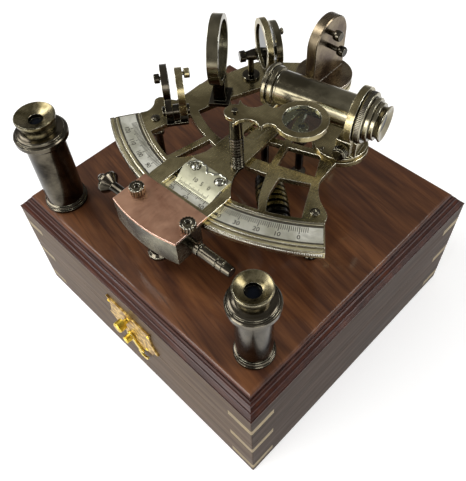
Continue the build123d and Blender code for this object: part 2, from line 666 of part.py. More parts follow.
# ================================================================== index arm
def make_index_arm():
    """The index arm with its hub, shaft and nut, the vernier and the worm block."""
    hub_y = -boss_r * 0.7
    end_y = 1 - limb_out
    shank = Polyline((-arm_left, -arm_shoulder), (-arm_half_hub, hub_y), (arm_half_hub, hub_y),
                     (arm_right, -arm_shoulder))
    foot = Polyline((arm_foot_half, -arm_foot), (arm_foot_half, end_y), (-arm_foot_half, end_y),
                    (-arm_foot_half, -arm_foot))
    shoulders = []
    for side, edge in ((1, arm_right), (-1, arm_left)):
        start = (side * edge, -arm_shoulder)
        end = (side * arm_foot_half, -arm_foot)
        middle = ((start[0] * 0.62 + end[0] * 0.38), -(arm_shoulder * 0.45 + arm_foot * 0.55))
        run = (start, middle, end)[::side]
        shoulders.append(ThreePointArc(*run))
    plan = Circle(boss_r - 0.6) + make_face([shank, shoulders[0], foot, shoulders[1]])
    window = Pos(arm_win_x, -(arm_win_in + arm_win_out) / 2) * Rectangle(
        2 * arm_win_half, arm_win_out - arm_win_in)
    slot = Pos(0, -(arm_slot_in + arm_slot_out) / 2) * RectangleRounded(
        2 * arm_slot_half, arm_slot_out - arm_slot_in, arm_slot_half * 0.9)
    plan = plan - window - slot
    # the foot ends against the block, clear of the arc's rim
    foot_end = limb_out + rim_gap
    tail = Rectangle(2 * arm_foot_half, foot_end - limb_out + 3)
    plan = plan + Pos(0, -(limb_out - 3 + foot_end) / 2) * tail
    arm = slab(plan, arm_z, arm_top)
    arm = arm + cylinder(pivot_r, frame_top - limb_t - 3, arm_z + 1)
    nut_top = frame_top - frame_t - fit_gap
    arm = arm + cylinder(pivot_nut_r, nut_top - pivot_nut_t, nut_top)
    save(index * arm, "index_arm")
    # vernier: a flat top and a bevel that runs down to the scale
    low = frame_top + 0.5
    profile = make_face(Polyline(
        (-vernier_in, arm_top), (-vernier_in, arm_top + vernier_t), (-vernier_bend, arm_top + vernier_t),
        (-vernier_out, low + 0.6), (-vernier_out, low), (-vernier_bend - 0.4, arm_top), close=True))
    plate = extrude(Plane.YZ * profile, arm_win_half, both=True)
    outline = make_face(Polyline(
        (-vernier_half, -vernier_in), (vernier_half, -vernier_in), (vernier_half, -vernier_out - 1),
        (-vernier_half + 3.4, -vernier_out - 1), (-vernier_half, -vernier_bend), close=True))
    plate = Pos(arm_win_x, 0, 0) * (plate & slab(outline, frame_top, arm_top + 5))
    save(index * plate, "vernier_plate")
    # worm block with its swelling outer face
    face_y = -foot_end
    swell = make_face(Wire([
        Line((-block_half, face_y), (block_half, face_y)),
        Line((block_half, face_y), (block_half, -block_out)),
        ThreePointArc((block_half, -block_out), (0, -block_out - block_bulge), (-block_half, -block_out)),
        Line((-block_half, -block_out), (-block_half, face_y))]).edges())
    block = slab(swell, arm_top - block_h, arm_top)
    shaft_z = arm_top - worm_drop
    bore = Pos(0, -worm_y, shaft_z) * Rot(0, 90, 0) * Cylinder(worm_shaft_r + worm_fit, 4 * block_half)
    block = block - bore
    under = arm_top - block_h
    block = block - cylinder(clamp_shaft_r + worm_fit, under - 1, under + 5, 0, -clamp_y)
    save(index * block, "worm_block")
    cover_plan = make_face(Wire([
        Line((-block_half, -cover_in), (block_half, -cover_in)),
        Line((block_half, -cover_in), (block_half, -block_out)),
        ThreePointArc((block_half, -block_out), (0, -block_out - block_bulge), (-block_half, -block_out)),
        Line((-block_half, -block_out), (-block_half, -cover_in))]).edges())
    save(index * slab(cover_plan, arm_top, arm_top + cover_t), "worm_block_cover")
    screws = []
    for side in (-1, 1):
        screw = turned([(0, 0), (cover_screw_r - 0.6, 0), (cover_screw_r, 0.8),
                        (cover_screw_r, cover_screw_h - 0.9), (cover_screw_r - 0.9, cover_screw_h),
                        (cover_screw_r * 0.5, cover_screw_h), (cover_screw_r * 0.5, cover_screw_h - 2),
                        (0, cover_screw_h - 2)])
        place = Pos(cover_screw_mid + side * cover_screw_x, -cover_screw_y, arm_top + cover_t)
        screws.append(place * screw)
    save(index * Compound(screws), "cover_screws")
    # worm shaft: mushroom knob on the left, ringed spindle on the right
    left_x = -block_half - fit_gap
    neck = worm_shaft_r + 0.6
    end = worm_knob_len
    knob = [(0, 0), (2.0, 0), (3.0, 1.4), (3.0, 3.0), (1.8, 4.4), (1.8, 5.4), (worm_knob_r - 2.5, 6.2),
            (worm_knob_r, 8.2), (worm_knob_r, 10.0), (worm_knob_r - 1.4, 11.4), (neck + 1.6, 13.4),
            (neck, 15.0), (neck, end - 7), (neck + 1.4, end - 6), (neck + 1.4, end - 3), (neck, end - 2),
            (neck, end), (0, end)]
    start = left_x - worm_knob_len
    lie = Plane(origin=(start, -worm_y, shaft_z), x_dir=(0, 0, 1), z_dir=(1, 0, 0)).location
    save(index * (lie * turned(knob)), "tangent_knob")
    body = [(0, 0), (worm_shaft_r, 0)]
    right_at = block_half + fit_gap - left_x
    thin = spindle_r - 0.8
    spindle = [(0.0, neck), (5.0, neck), (5.0, spindle_r + 0.5), (8.0, spindle_r + 0.5), (8.0, thin),
               (9.0, thin), (9.0, spindle_r), (23.0, spindle_r), (23.0, thin), (24.2, thin),
               (24.2, spindle_r), (28.0, spindle_r), (28.0, thin), (29.2, thin), (29.2, spindle_r - 0.2),
               (spindle_len, spindle_r - 0.6)]
    body += [(worm_shaft_r, right_at)] + [(radius, right_at + along) for along, radius in spindle]
    body += [(0, right_at + spindle_len)]
    lie = Plane(origin=(left_x, -worm_y, shaft_z), x_dir=(0, 0, 1), z_dir=(1, 0, 0)).location
    save(index * (lie * turned(body)), "tangent_screw")
    foot = -clamp_drop
    clamp = turned([(0, 4), (clamp_shaft_r, 4), (clamp_shaft_r, foot + 13), (clamp_r - 1.5, foot + 12),
                    (clamp_r, foot + 10), (clamp_r, foot + 6.5), (clamp_r - 2, foot + 4.6),
                    (2.0, foot + 4.2), (2.0, foot + 3.2), (3.0, foot + 2.6), (3.0, foot + 0.8), (2.2, foot),
                    (0, foot)])
    save(index * (Pos(0, -clamp_y, under) * clamp), "clamp_knob")


def make_index_mirror():
    """The index mirror over the pivot: arched plate on a round base, its glass and two set screws."""
    base_z = arm_top
    spring = mirror_h - mirror_w / 2
    half = mirror_w / 2

    def arch(inset, foot):
        side = half - inset
        return make_face([
            Line((-side, foot), (side, foot)), Line((side, foot), (side, spring)),
            ThreePointArc((side, spring), (0, spring + side), (-side, spring)),
            Line((-side, spring), (-side, foot))])

    stand = Plane(origin=(0, 0, base_z + mirror_base_t), x_dir=(0, 1, 0), z_dir=(1, 0, 0))
    body = extrude(stand.offset(-mirror_d / 2) * arch(0, -1), mirror_d)
    back = body.faces().sort_by(Axis.X)[-1]
    body = chamfer(back.edges().filter_by(GeomType.LINE, reverse=True), 0.8)
    glass = extrude(stand.offset(-mirror_d / 2) * arch(mirror_rim * 0.6, 3), glass_t)
    body = body - glass
    base = cylinder(mirror_base_r, base_z, base_z + mirror_base_t)
    turn = Rot(0, 0, mirror_turn)
    save(index * (turn * (base + body)), "index_mirror_frame")
    save(index * (turn * glass), "index_mirror_glass")
    screws = []
    for up, tip in zip(mirror_screw_up, mirror_screw_l):
        screw = turned([(0, 0), (1.8, 0), (1.8, tip - 6), (3.4, tip - 5.4), (3.8, tip - 4.2), (3.8, tip - 1),
                        (3.2, tip), (0, tip)])
        lie = Plane(origin=(mirror_d / 2, mirror_screw_y, base_z + mirror_base_t + up), x_dir=(0, 1, 0),
                    z_dir=(1, 0, 0)).location
        screws.append(lie * screw)
    save(index * (turn * Compound(screws)), "index_mirror_screws")


def make_magnifier():
    """The post on the index arm and the swinging arm with its reading lens."""
    x = magnifier_x
    y = -magnifier_y
    post_r = magnifier_post_r
    post_top = arm_top + magnifier_h
    post = [(0, 0), (post_r + 0.6, 0), (post_r + 0.6, 1.5)]
    for k in range(5):
        start = 2.0 + 2.4 * k
        post += [(post_r - 0.4, start), (post_r - 0.4, start + 0.6), (post_r + 0.2, start + 1.0),
                 (post_r + 0.2, start + 1.8)]
    head = magnifier_h + magnifier_t + 1.6
    post += [(post_r - 0.3, 15), (post_r - 0.3, magnifier_h - 4), (post_r, magnifier_h - 3),
             (post_r, magnifier_h), (magnifier_pin_r, magnifier_h), (magnifier_pin_r, head), (0, head)]
    save(index * (Pos(x, y, arm_top) * turned(post)), "magnifier_post")
    # flat arm with horned, scalloped edges between the post and the lens ring
    reach = magnifier_reach
    ring_r = magnifier_ring_r
    root = reach - sqrt(ring_r ** 2 - horn_y ** 2) + 1
    plan = Circle(magnifier_head_r) + Pos(reach, 0) * Circle(ring_r)
    plan = plan + Pos((1 + root) / 2, 0) * Rectangle(root - 1, 2 * horn_y)
    for at, across, size in (scallop_big, scallop_small):
        for side in (-1, 1):
            plan = plan - Pos(at, side * across) * Circle(size)
    plan = plan - Circle(magnifier_pin_r + axle_fit)
    seat = Pos(reach, 0) * Circle(magnifier_lens_r)
    arm = slab(plan - seat, 0, magnifier_t)
    arm = arm + Pos(reach, 0, 0) * ring(ring_r, magnifier_lens_r, -magnifier_lip, magnifier_t)
    lens = Pos(reach, 0, 0) * cylinder(magnifier_lens_r, 0, magnifier_t - 0.6)
    place = Location((x, y, post_top + axle_fit), (0, 0, magnifier_turn))
    save(index * (place * arm), "magnifier_arm")
    save(index * (place * lens), "magnifier_lens")


# ================================================================== telescope and its stand
def scope_axis():
    """The telescope's axis: its front end at the origin of this plane, towards the eye."""
    along = (cos(radians(scope_turn)), sin(radians(scope_turn)), 0)
    return Plane(origin=(scope_x, scope_y, frame_top + scope_z), x_dir=(0, 0, 1), z_dir=along).location


def make_telescope():
    """Barrel with its front rings, steps and lens, the draw tube, and the stand that carries them."""
    front = scope_front_r
    knurl_at = scope_ring_at + scope_ring_len + 0.7
    step_at = knurl_at + knurl_l + 0.8
    end_at = step_at + 2.8
    tube_bore = eye_neck_r + tube_fit
    shelf = barrel_bore_r - 1
    lens_back = scope_lens_at + scope_lens_t
    outline = [
        (barrel_bore_r, 0), (front - 1, 0), (front, 1), (front, scope_front_l * 0.45 - 0.4),
        (front - 0.8, scope_front_l * 0.45), (front - 2.2, scope_front_l * 0.45),
        (front - 2.2, scope_front_l * 0.55), (front - 1.4, scope_front_l * 0.58),
        (front - 1.4, scope_front_l - 0.5), (front - 2, scope_front_l),
        (barrel_r - 0.5, scope_front_l + 0.6),
        (barrel_r - 0.5, scope_front_l + 1.8), (barrel_r, scope_front_l + 2.2), (barrel_r, knurl_at),
        (knurl_r, knurl_at), (knurl_r, knurl_at + knurl_l - 0.4), (knurl_r - 0.6, knurl_at + knurl_l),
        (step_r - 1, knurl_at + knurl_l), (step_r - 1, step_at), (step_r, step_at), (step_r, end_at - 0.5),
        (step_r - 0.6, end_at), (end_ring_r - 0.8, end_at), (end_ring_r - 0.8, end_at + 0.6),
        (end_ring_r, end_at + 0.6), (end_ring_r, barrel_len - 0.4), (end_ring_r - 0.5, barrel_len),
        (tube_bore, barrel_len), (tube_bore, tube_in - 6), (shelf, tube_in - 6), (shelf, lens_back),
        (barrel_bore_r, lens_back)]
    save(sextant * (scope_axis() * turned(outline)), "scope_barrel")
    lens = cylinder(barrel_bore_r, scope_lens_at, lens_back)
    save(sextant * (scope_axis() * lens), "scope_front_lens")
    end = barrel_len + eye_len
    tube = turned([(eye_hole_r, tube_in), (eye_neck_r, tube_in), (eye_neck_r, end - 4.0),
                   (eye_cup_r - 0.7, end - 1.6), (eye_cup_r, end - 1), (eye_cup_r, end - 0.4),
                   (eye_cup_r - 0.8, end), (eye_hole_r + 2.2, end - 1.5), (eye_hole_r, end - 2.5)])
    save(sextant * (scope_axis() * tube), "scope_eyepiece")
    # the stand: round foot, upright and ring, in a frame turned with the telescope
    foot = cylinder(stand_r, frame_top, frame_top + stand_t, pad_x, pad_y)
    ring_part = scope_axis() * (Pos(0, 0, scope_ring_at) * ring(scope_ring_r, barrel_r, 0, scope_ring_len))
    middle = scope_ring_at + scope_ring_len / 2
    mx = scope_x + middle * cos(radians(scope_turn))
    my = scope_y + middle * sin(radians(scope_turn))
    turned_to = Location((mx, my, 0), (0, 0, scope_turn))
    low = frame_top + stand_t
    top = frame_top + scope_z - barrel_r - 2
    ring_clear = scope_axis() * cylinder(barrel_r, scope_ring_at - 10, knurl_at)
    upright = Pos(0, 0, (low + top) / 2) * Box(scope_ring_len, stand_w, top - low)
    shoe = Pos(stand_block_shift / 2, 0, low + stand_block_h / 2) * Box(
        stand_d - stand_block_shift, stand_w, stand_block_h)
    clamp = Pos(stand_block_shift, -stand_block / 2, low + stand_block_h / 2) * Box(
        stand_d + 2, stand_block, stand_block_h)
    mouth = Plane(origin=(stand_block_shift, -stand_block, low + stand_block_h / 2), x_dir=(1, 0, 0),
                  z_dir=(0, -1, 0)).location
    bore = mouth * cylinder(axle_r + axle_fit, -thumb_deep, 1)
    stand = turned_to * (upright + shoe + clamp - bore) - ring_clear
    save(sextant * (foot + ring_part + stand), "scope_stand")
    tip = 0.5 - thumb_deep
    screw = turned([(0, tip), (axle_r, tip), (axle_r, fit_gap), (thumb_r - 0.5, fit_gap),
                    (thumb_r, fit_gap + 0.5), (thumb_r, thumb_len - 0.8), (thumb_r - 0.8, thumb_len),
                    (0, thumb_len)])
    save(sextant * (turned_to * (mouth * screw)), "scope_clamp_screw")


# ================================================================== horizon mirror and shades
def make_horizon_mirror():
    """The round horizon mirror in its deep ring, on a bracket."""
    z = frame_top + horizon_z
    turn = radians(horizon_turn)
    face = Plane(origin=(horizon_x, horizon_y, z), x_dir=(0, 0, 1), z_dir=(cos(turn), sin(turn), 0)).location
    rim = face * ring(horizon_r, horizon_glass_r, -horizon_t / 2, horizon_t / 2)
    lip = face * ring(horizon_glass_r + 0.5, horizon_glass_r - 1.5, -horizon_t / 2, -horizon_t / 2 + 1.5)
    glass = face * cylinder(horizon_glass_r, -horizon_t / 2 + 1.5, -horizon_t / 2 + 1.5 + glass_t)
    save(sextant * (rim + lip), "horizon_mirror_ring")
    save(sextant * glass, "horizon_mirror_glass")
    foot = Pos(horizon_x, horizon_y, frame_top + 1.5) * Rot(0, 0, horizon_turn) * Box(16, 20, 3)
    post_top = z - horizon_r + 3
    post = Pos(horizon_x, horizon_y, (frame_top + post_top) / 2) * Rot(0, 0, horizon_turn) * Box(
        9, 13, post_top - frame_top)
    save(sextant * (foot + post - face * cylinder(horizon_r, -20, 20)), "horizon_bracket")


def shade_leaf(ring_r, glass_r, reach, thick):
    """One shade: a ring with a lug and a hub, drawn flat, hub at the origin, ring towards +X."""
    lug = (reach - glass_r) / 2
    plan = Pos(reach, 0) * Circle(ring_r) + Circle(shade_hub_r)
    plan = plan + Pos(lug, 0) * Rectangle(2 * lug, 2 * shade_hub_r)
    plan = plan - Circle(axle_r + axle_fit)
    half = thick / 2
    leaf = slab(plan, -half, half) - cylinder(glass_r, -half - 1, half + 1, reach)
    glass = cylinder(glass_r, -shade_glass_t / 2, shade_glass_t / 2, reach)
    return leaf, glass


def finger_knob(ring_r, glass_r, reach, thick, knob_r, knob_l, turn, side):
    """A small knob on a leaf's outer face, turned from the leaf's tip about the ring's middle."""
    middle_r = (ring_r + glass_r) / 2
    stem = knob_l * 0.22
    x = reach + middle_r * cos(radians(turn))
    y = middle_r * sin(radians(turn))
    knob = turned([(0, 0), (knob_r * 0.4, 0), (knob_r * 0.4, stem), (knob_r - 0.5, stem),
                   (knob_r, stem + 0.5), (knob_r, knob_l - 0.5), (knob_r - 0.5, knob_l), (0, knob_l)])
    flip = Rot(0, 0, 0) if side > 0 else Rot(180, 0, 0)
    return Pos(x, y, side * thick / 2) * (flip * knob)


def shade_plane(x, y, z, axle_turn, lean, at, out_turn):
    """Where a leaf lies: at along the axle, leaning lean degrees up towards out_turn."""
    ax = (cos(radians(axle_turn)), sin(radians(axle_turn)), 0)
    level = cos(radians(lean))
    out = (cos(radians(out_turn)) * level, sin(radians(out_turn)) * level, sin(radians(lean)))
    return Plane(origin=(x + at * ax[0], y + at * ax[1], z), x_dir=out, z_dir=ax).location


def make_index_shades():
    """The two shades before the index mirror, with their axle, post and knob."""
    z = frame_top + index_shade_z
    half = index_shade_t / 2
    out_turn = index_shade_turn - 90
    sizes = list(zip(index_shade_r, index_shade_glass_r, index_shade_reach))
    for number, (at, size) in enumerate(zip(index_shade_at, sizes), 1):
        leaf, glass = shade_leaf(*size, index_shade_t)
        if number == 2:
            leaf = leaf + finger_knob(*size, index_shade_t, *index_finger, 1)
        place = shade_plane(index_shade_x, index_shade_y, z, index_shade_turn, index_shade_lean, at,
                            out_turn)
        save(sextant * (place * leaf), f"index_shade_{number}")
        save(sextant * (place * glass), f"index_shade_{number}_glass")
    lie = shade_plane(index_shade_x, index_shade_y, z, index_shade_turn, 90, 0, out_turn)
    near = index_shade_at[0] - half - shade_clear
    far = index_shade_at[-1] + half + shade_clear
    collar = shade_hub_r - 0.6
    knob = -index_knob_out
    axle = turned([(0, knob), (4.0, knob), (4.4, knob + 0.5), (4.4, knob + 4.4), (3.2, knob + 4.8),
                   (3.2, knob + 5.4), (collar, near - 1.6), (collar, near), (axle_r, near), (axle_r, far),
                   (3.6, far), (3.6, far + 2), (0, far + 2)])
    low = index_shade_at[0] + half + 0.2
    high = index_shade_at[1] - half - 0.2
    spacer = lie * turned([(axle_r, low), (3.2, low), (3.2, high), (axle_r, high)])
    post = cylinder(index_post_r, frame_top, z, index_shade_x, index_shade_y)
    foot = cylinder(index_foot_r, frame_top, frame_top + 2, index_shade_x, index_shade_y)
    save(sextant * (lie * axle + spacer + post + foot), "index_shade_bracket")


def make_horizon_shades():
    """The two shades before the horizon mirror, swinging on one axle over a low bracket."""
    z = frame_top + horizon_shade_z
    half = horizon_shade_t / 2
    out_turn = horizon_shade_turn + 90
    size = (horizon_shade_r, horizon_shade_glass_r, horizon_shade_reach)
    leaves = zip(horizon_shade_at, horizon_shade_lean, horizon_fingers)
    for number, (at, lean, finger) in enumerate(leaves, 1):
        leaf, glass = shade_leaf(*size, horizon_shade_t)
        side = -1 if at < 0 else 1
        leaf = leaf + finger_knob(*size, horizon_shade_t, *finger, side)
        place = shade_plane(horizon_shade_x, horizon_shade_y, z, horizon_shade_turn, lean, at, out_turn)
        save(sextant * (place * leaf), f"horizon_shade_{number}")
        save(sextant * (place * glass), f"horizon_shade_{number}_glass")
    lie = shade_plane(horizon_shade_x, horizon_shade_y, z, horizon_shade_turn, 90, 0, out_turn)
    left = horizon_shade_at[0]
    right = horizon_shade_at[1]
    low = left - half - shade_clear
    high = right + half + shade_clear
    inner = (left + half + shade_clear, right - half - shade_clear)
    axle = turned([(0, low - 2), (3.6, low - 2), (3.6, low), (axle_r, low), (axle_r, inner[0]),
                   (4.4, inner[0]), (4.4, inner[1]), (axle_r, inner[1]), (axle_r, high), (3.6, high),
                   (3.6, high + 2), (0, high + 2)])
    middle = (inner[0] + inner[1]) / 2
    web = lie * (Pos(-horizon_shade_z / 2, 0, middle) * Box(horizon_shade_z, 8, inner[1] - inner[0]))
    foot = lie * (Pos(1.2 - horizon_shade_z, 0, middle) * Box(2.4, 12, high - low))
    save(sextant * (lie * axle + web + foot), "horizon_shade_bracket")


# ================================================================== spare telescopes
def make_spare_scope(name, x, y, height, tube_r):
    """A spare telescope standing on its front end: barrel with its rings, and the eyepiece dish."""
    flange = tube_r + spare_flange
    collar = tube_r + spare_collar
    neck = height - 11
    # heights are counted up from the foot, and down from the top
    foot = [(0, 0), (flange - 0.6, 0), (flange, 0.7), (flange, 2.6), (flange - 0.6, 3.2),
            (flange - 1.1, 3.3), (flange - 1.1, 3.9), (flange - 0.6, 4.1), (flange - 0.4, 5.0),
            (flange - 0.8, 6.0), (tube_r, 6.4)]
    head = [(tube_r, 22.5), (tube_r + 2, 21.5), (collar - 1.6, 19.9), (collar, 18.5), (collar, 15.1),
            (collar - 0.8, 14.3), (collar - 2, 14.1), (collar - 2.2, 13.6), (collar - 2.2, 12.4),
            (collar - 3, 11.9), (tube_r, 11.6), (tube_r - 1.8, 11), (0, 11)]
    barrel = turned(foot + [(radius, height - down) for radius, down in head])
    dish_r = tube_r - 0.2
    rim = [(tube_r - 2.4, 7.5), (dish_r - 0.4, 3.4), (dish_r, 2), (dish_r, 0.6), (dish_r - 0.7, 0),
           (dish_r - 1.6, 0.4), (spare_hole_r + 0.8, 3.4), (spare_hole_r, 3.8), (spare_hole_r, 7), (0, 7)]
    dish = turned([(0, neck), (tube_r - 2.2, neck)] + [(radius, height - down) for radius, down in rim])
    place = Pos(x, y, lid_top)
    save(place * barrel, f"{name}_barrel")
    save(place * dish, f"{name}_eyepiece")


make_box()
make_hinges()
make_latch()
make_frame()
make_legs_and_grip()
make_index_arm()
make_index_mirror()
make_magnifier()
make_telescope()
make_horizon_mirror()
make_index_shades()
make_horizon_shades()
make_spare_scope("spare_scope_1", scope_1_x, scope_1_y, scope_1_h, scope_1_r)
make_spare_scope("spare_scope_2", scope_2_x, scope_2_y, scope_2_h, scope_2_r)
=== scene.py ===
"""A boxed sextant: the finishes, engraving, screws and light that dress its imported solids.

Everything is in metres, in the frame of the solids: X right, Y back, Z up, with the
origin at the centre of the case's underside. Sizes in the classes are millimetres.
The solids stay where they are; this file gives each one its finish and adds the work
that is too fine for them: graduations, numerals, the rack's teeth, knurls and slots.
"""

import logging
import math
from collections.abc import Callable
from dataclasses import dataclass, field
from enum import Enum
from functools import partial
from typing import Protocol

import bmesh
import bpy
import numpy as np
from mathutils import Matrix, Vector


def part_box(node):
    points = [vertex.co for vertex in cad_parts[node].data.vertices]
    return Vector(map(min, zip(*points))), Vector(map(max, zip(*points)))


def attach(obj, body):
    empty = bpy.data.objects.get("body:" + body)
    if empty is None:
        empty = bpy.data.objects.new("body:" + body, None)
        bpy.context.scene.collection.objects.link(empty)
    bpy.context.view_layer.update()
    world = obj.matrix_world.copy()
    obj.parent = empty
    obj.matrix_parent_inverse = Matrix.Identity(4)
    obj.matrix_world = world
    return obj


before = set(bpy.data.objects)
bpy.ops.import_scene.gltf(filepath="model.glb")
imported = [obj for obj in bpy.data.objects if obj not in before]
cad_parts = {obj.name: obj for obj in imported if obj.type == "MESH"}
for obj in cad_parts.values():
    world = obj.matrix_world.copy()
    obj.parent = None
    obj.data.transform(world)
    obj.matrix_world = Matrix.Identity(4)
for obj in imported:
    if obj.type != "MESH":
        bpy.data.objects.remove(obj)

Pair = tuple[float, float]
Triple = tuple[float, float, float]

LOG = logging.getLogger("boxed_sextant")
MM = 0.001
COLOURS = {"data_type": "RGBA"}  # the setting that makes a Mix node mix colours
SHARP = 33.0  # degrees past which a solid's edge stays sharp
LID_TOP = 116.0  # mm, the board that the sextant stands on
FRAME_TOP = 164.0  # mm, upper face of the sextant's frame
ARM_TOP = 167.3  # mm, upper face of the index arm
POLE = 0.0001  # mm, the radius that closes a turned shape on its axis
FRONT, BACK = (0.0, -1.0, 0.0), (0.0, 1.0, 0.0)
SCOPE_START = (-3.3, -64.0, 198.0)  # mm, start of the telescope's axis, in the sextant's seat
SCOPE_TURN = math.radians(9.0)
SCOPE_ALONG = (math.cos(SCOPE_TURN), math.sin(SCOPE_TURN), 0.0)


class Slot(Enum):
    """Names of the record's material slots, handed with each added piece; nothing reads them."""

    HARDWOOD = "hardwood"
    LATCH = "latch_brass"
    ANTIQUE = "antique_brass"
    BRONZE = "dark_bronze"
    SILVERED = "silvered"
    SHADE = "shade_glass"


class Body(Enum):
    """The moving bodies that carry the added pieces."""

    CASE = "case"
    LID = "lid"
    SEXTANT = "sextant"
    INDEX_ARM = "index_arm"
    CLAMP_KNOB = "clamp_knob"
    STAND_SCREW = "scope_clamp_screw"
    EYEPIECE = "scope_eyepiece"


def srgb(code: str) -> tuple[float, float, float, float]:
    """Turns an sRGB hex colour into the linear colour that the shaders take.

    Args:
        code: Six hex digits, with or without a leading hash.

    Returns:
        Linear red, green and blue, and an alpha of one.
    """
    digits = code.lstrip("#")
    parts = [int(digits[i:i + 2], 16) / 255 for i in (0, 2, 4)]
    linear = [c / 12.92 if c <= 0.04045 else ((c + 0.055) / 1.055) ** 2.4 for c in parts]
    return (linear[0], linear[1], linear[2], 1.0)


def feed(node: bpy.types.Node, **inputs: object) -> None:
    """Sets or links a node's inputs.

    Args:
        node: The node.
        inputs: What goes in, by the input's name with _ for a space, or by its number after
            an underscore. A node gives its first output in use, and a hex string its colour.
    """
    for name, value in inputs.items():
        label = name.replace("_", " ")
        into = (node.inputs[int(name[1:])] if name[1:].isdigit() else
                next(socket for socket in node.inputs if socket.enabled and socket.name == label))
        if isinstance(value, bpy.types.Node):
            value = next(socket for socket in value.outputs if socket.enabled)
        if isinstance(value, bpy.types.NodeSocket):
            node.id_data.links.new(value, into)
        else:
            into.default_value = srgb(value) if isinstance(value, str) else value


def add_node(tree: bpy.types.NodeTree, kind: str, settings: dict | None = None,
             **inputs: object) -> bpy.types.Node:
    """Adds one node, with its settings and inputs.

    Args:
        tree: The node tree that takes it.
        kind: The node's type name, where ShaderNode may be left out.
        settings: Attributes to set, by name; "stops" is a colour ramp's two or three stops.
        inputs: What goes in, as feed takes it.

    Returns:
        The new node.
    """
    node = tree.nodes.new(kind if "Node" in kind else f"ShaderNode{kind}")
    for name, value in (settings or {}).items():
        if name == "stops":
            ramp = node.color_ramp
            while len(ramp.elements) < len(value):
                ramp.elements.new(0.5)
            for element, (place, colour) in zip(ramp.elements, value):
                element.position, element.color = place, srgb(colour)
        else:
            setattr(node, name, value)
    feed(node, **inputs)
    return node


def new_material(name: str) -> tuple[bpy.types.Material, Callable[..., bpy.types.Node],
                                     bpy.types.Node, bpy.types.NodeSocket]:
    """Starts a material.

    Args:
        name: What the material is.

    Returns:
        The material, add_node for its tree, its shader and the Object coordinates.
    """
    made = bpy.data.materials.new(name)
    made.use_nodes = True
    add = partial(add_node, made.node_tree)
    place = add("TexCoord").outputs["Object"]
    return made, add, made.node_tree.nodes["Principled BSDF"], place


# ---------------------------------------------------------------- finishes


class Finish(Protocol):
    """Any finish: its name, and the material that it makes."""

    name: str

    def material(self) -> bpy.types.Material:
        """Makes the material."""


@dataclass(frozen=True)
class Sheesham:
    """Sheesham (Indian rosewood), planed and lacquered: warm brown heartwood with dark
    growth bands, open pores and a clear gloss coat that mirrors the room at low angles."""

    name: str
    dark: str
    heart: str
    light: str
    turn: float  # degrees from X to the grain, in plan
    band: float = 9.0  # mm across one dark or light band
    streak: float = 2.4  # mm across a streak within a band
    pore: float = 0.9  # mm across a pore; real ones are 0.3, too fine for the picture
    gloss: float = 0.5
    satin: float = 0.3
    hollow: float = 5.0  # mm, reach of the painted shade that darkens grooves and hollows
    shine: float = 0.2  # the open grain reflects less than a closed film would
    moulded: float = 0.0  # mm, height under which the moulded edge is made darker, redder and less glossy; 0 for none

    def material(self) -> bpy.types.Material:
        """Noise squeezed along the grain gives bands, streaks and pores at three scales."""
        made, add, shader, place = new_material(self.name)
        turn = (0.0, 0.0, math.radians(self.turn))
        along = [add("Mapping", {"vector_type": "TEXTURE"}, Vector=place, Rotation=turn,
                     Scale=(reach, 1.0, 1.0)) for reach in (5.0, 16.0, 22.0)]
        bands = add("TexNoise", Vector=along[0], Scale=1 / (self.band * MM * 2), Detail=4.0,
                    Roughness=0.55, Distortion=0.9)
        streaks = add("TexNoise", Vector=along[1], Scale=1 / (self.streak * MM * 2), Detail=4.0,
                      Roughness=0.65)
        pores = add("TexNoise", Vector=along[2], Scale=1 / (self.pore * MM * 2), Detail=2.0)
        grain = add("Mix", {"data_type": "FLOAT"}, Factor=0.38, A=bands, B=streaks)
        colour = add("ValToRGB", {"stops": [
            (0.36, self.dark), (0.5, self.heart), (0.64, self.light)]}, Fac=grain)
        open_pore = add("MapRange", Value=pores, From_Min=0.56, From_Max=0.7, To_Min=0.0,
                        To_Max=0.6)
        pored = add("Mix", COLOURS, Factor=open_pore, A=colour, B=self.dark)
        # painted shade: occlusion darkens grooves and hollows towards a near-black brown
        depth = add("AmbientOcclusion", {"samples": 4, "only_local": True},
                    Distance=self.hollow * MM)
        painted_shade = add("MapRange", Value=depth.outputs["AO"], From_Min=0.9, From_Max=0.45,
                   To_Min=0.0, To_Max=0.7)
        tone = add("Mix", COLOURS, Factor=painted_shade, A=pored, B="#1c0f0b")
        film = self.gloss
        if self.moulded:
            # below that height the moulded edge is made darker, redder and less glossy
            height = add("SeparateXYZ", Vector=place).outputs["Z"]
            limits = {"From_Min": self.moulded * MM, "From_Max": (self.moulded - 1.5) * MM}
            edge = add("MapRange", Value=height, To_Min=0.0, To_Max=0.9, **limits)
            tone = add("Mix", COLOURS | {"blend_type": "MULTIPLY"}, Factor=edge, A=tone,
                       B="#a87a72")
            film = add("MapRange", Value=height, To_Min=self.gloss, To_Max=self.gloss * 0.3,
                       **limits)
        # corners rounded by 0.6 mm of sanding and lacquer catch a fine light line
        soft = add("Bevel", {"samples": 4}, Radius=0.6 * MM)
        relief = add("Bump", Strength=0.12, Distance=0.1 * MM, Height=streaks, Normal=soft)
        rough = add("MapRange", Value=streaks, From_Min=0.3, From_Max=0.7,
                    To_Min=self.satin + 0.12, To_Max=self.satin)
        feed(shader, Base_Color=tone, Normal=relief, Coat_Normal=soft, Coat_Weight=film,
             Roughness=rough, Specular_IOR_Level=self.shine, Coat_Roughness=0.09)
        return made


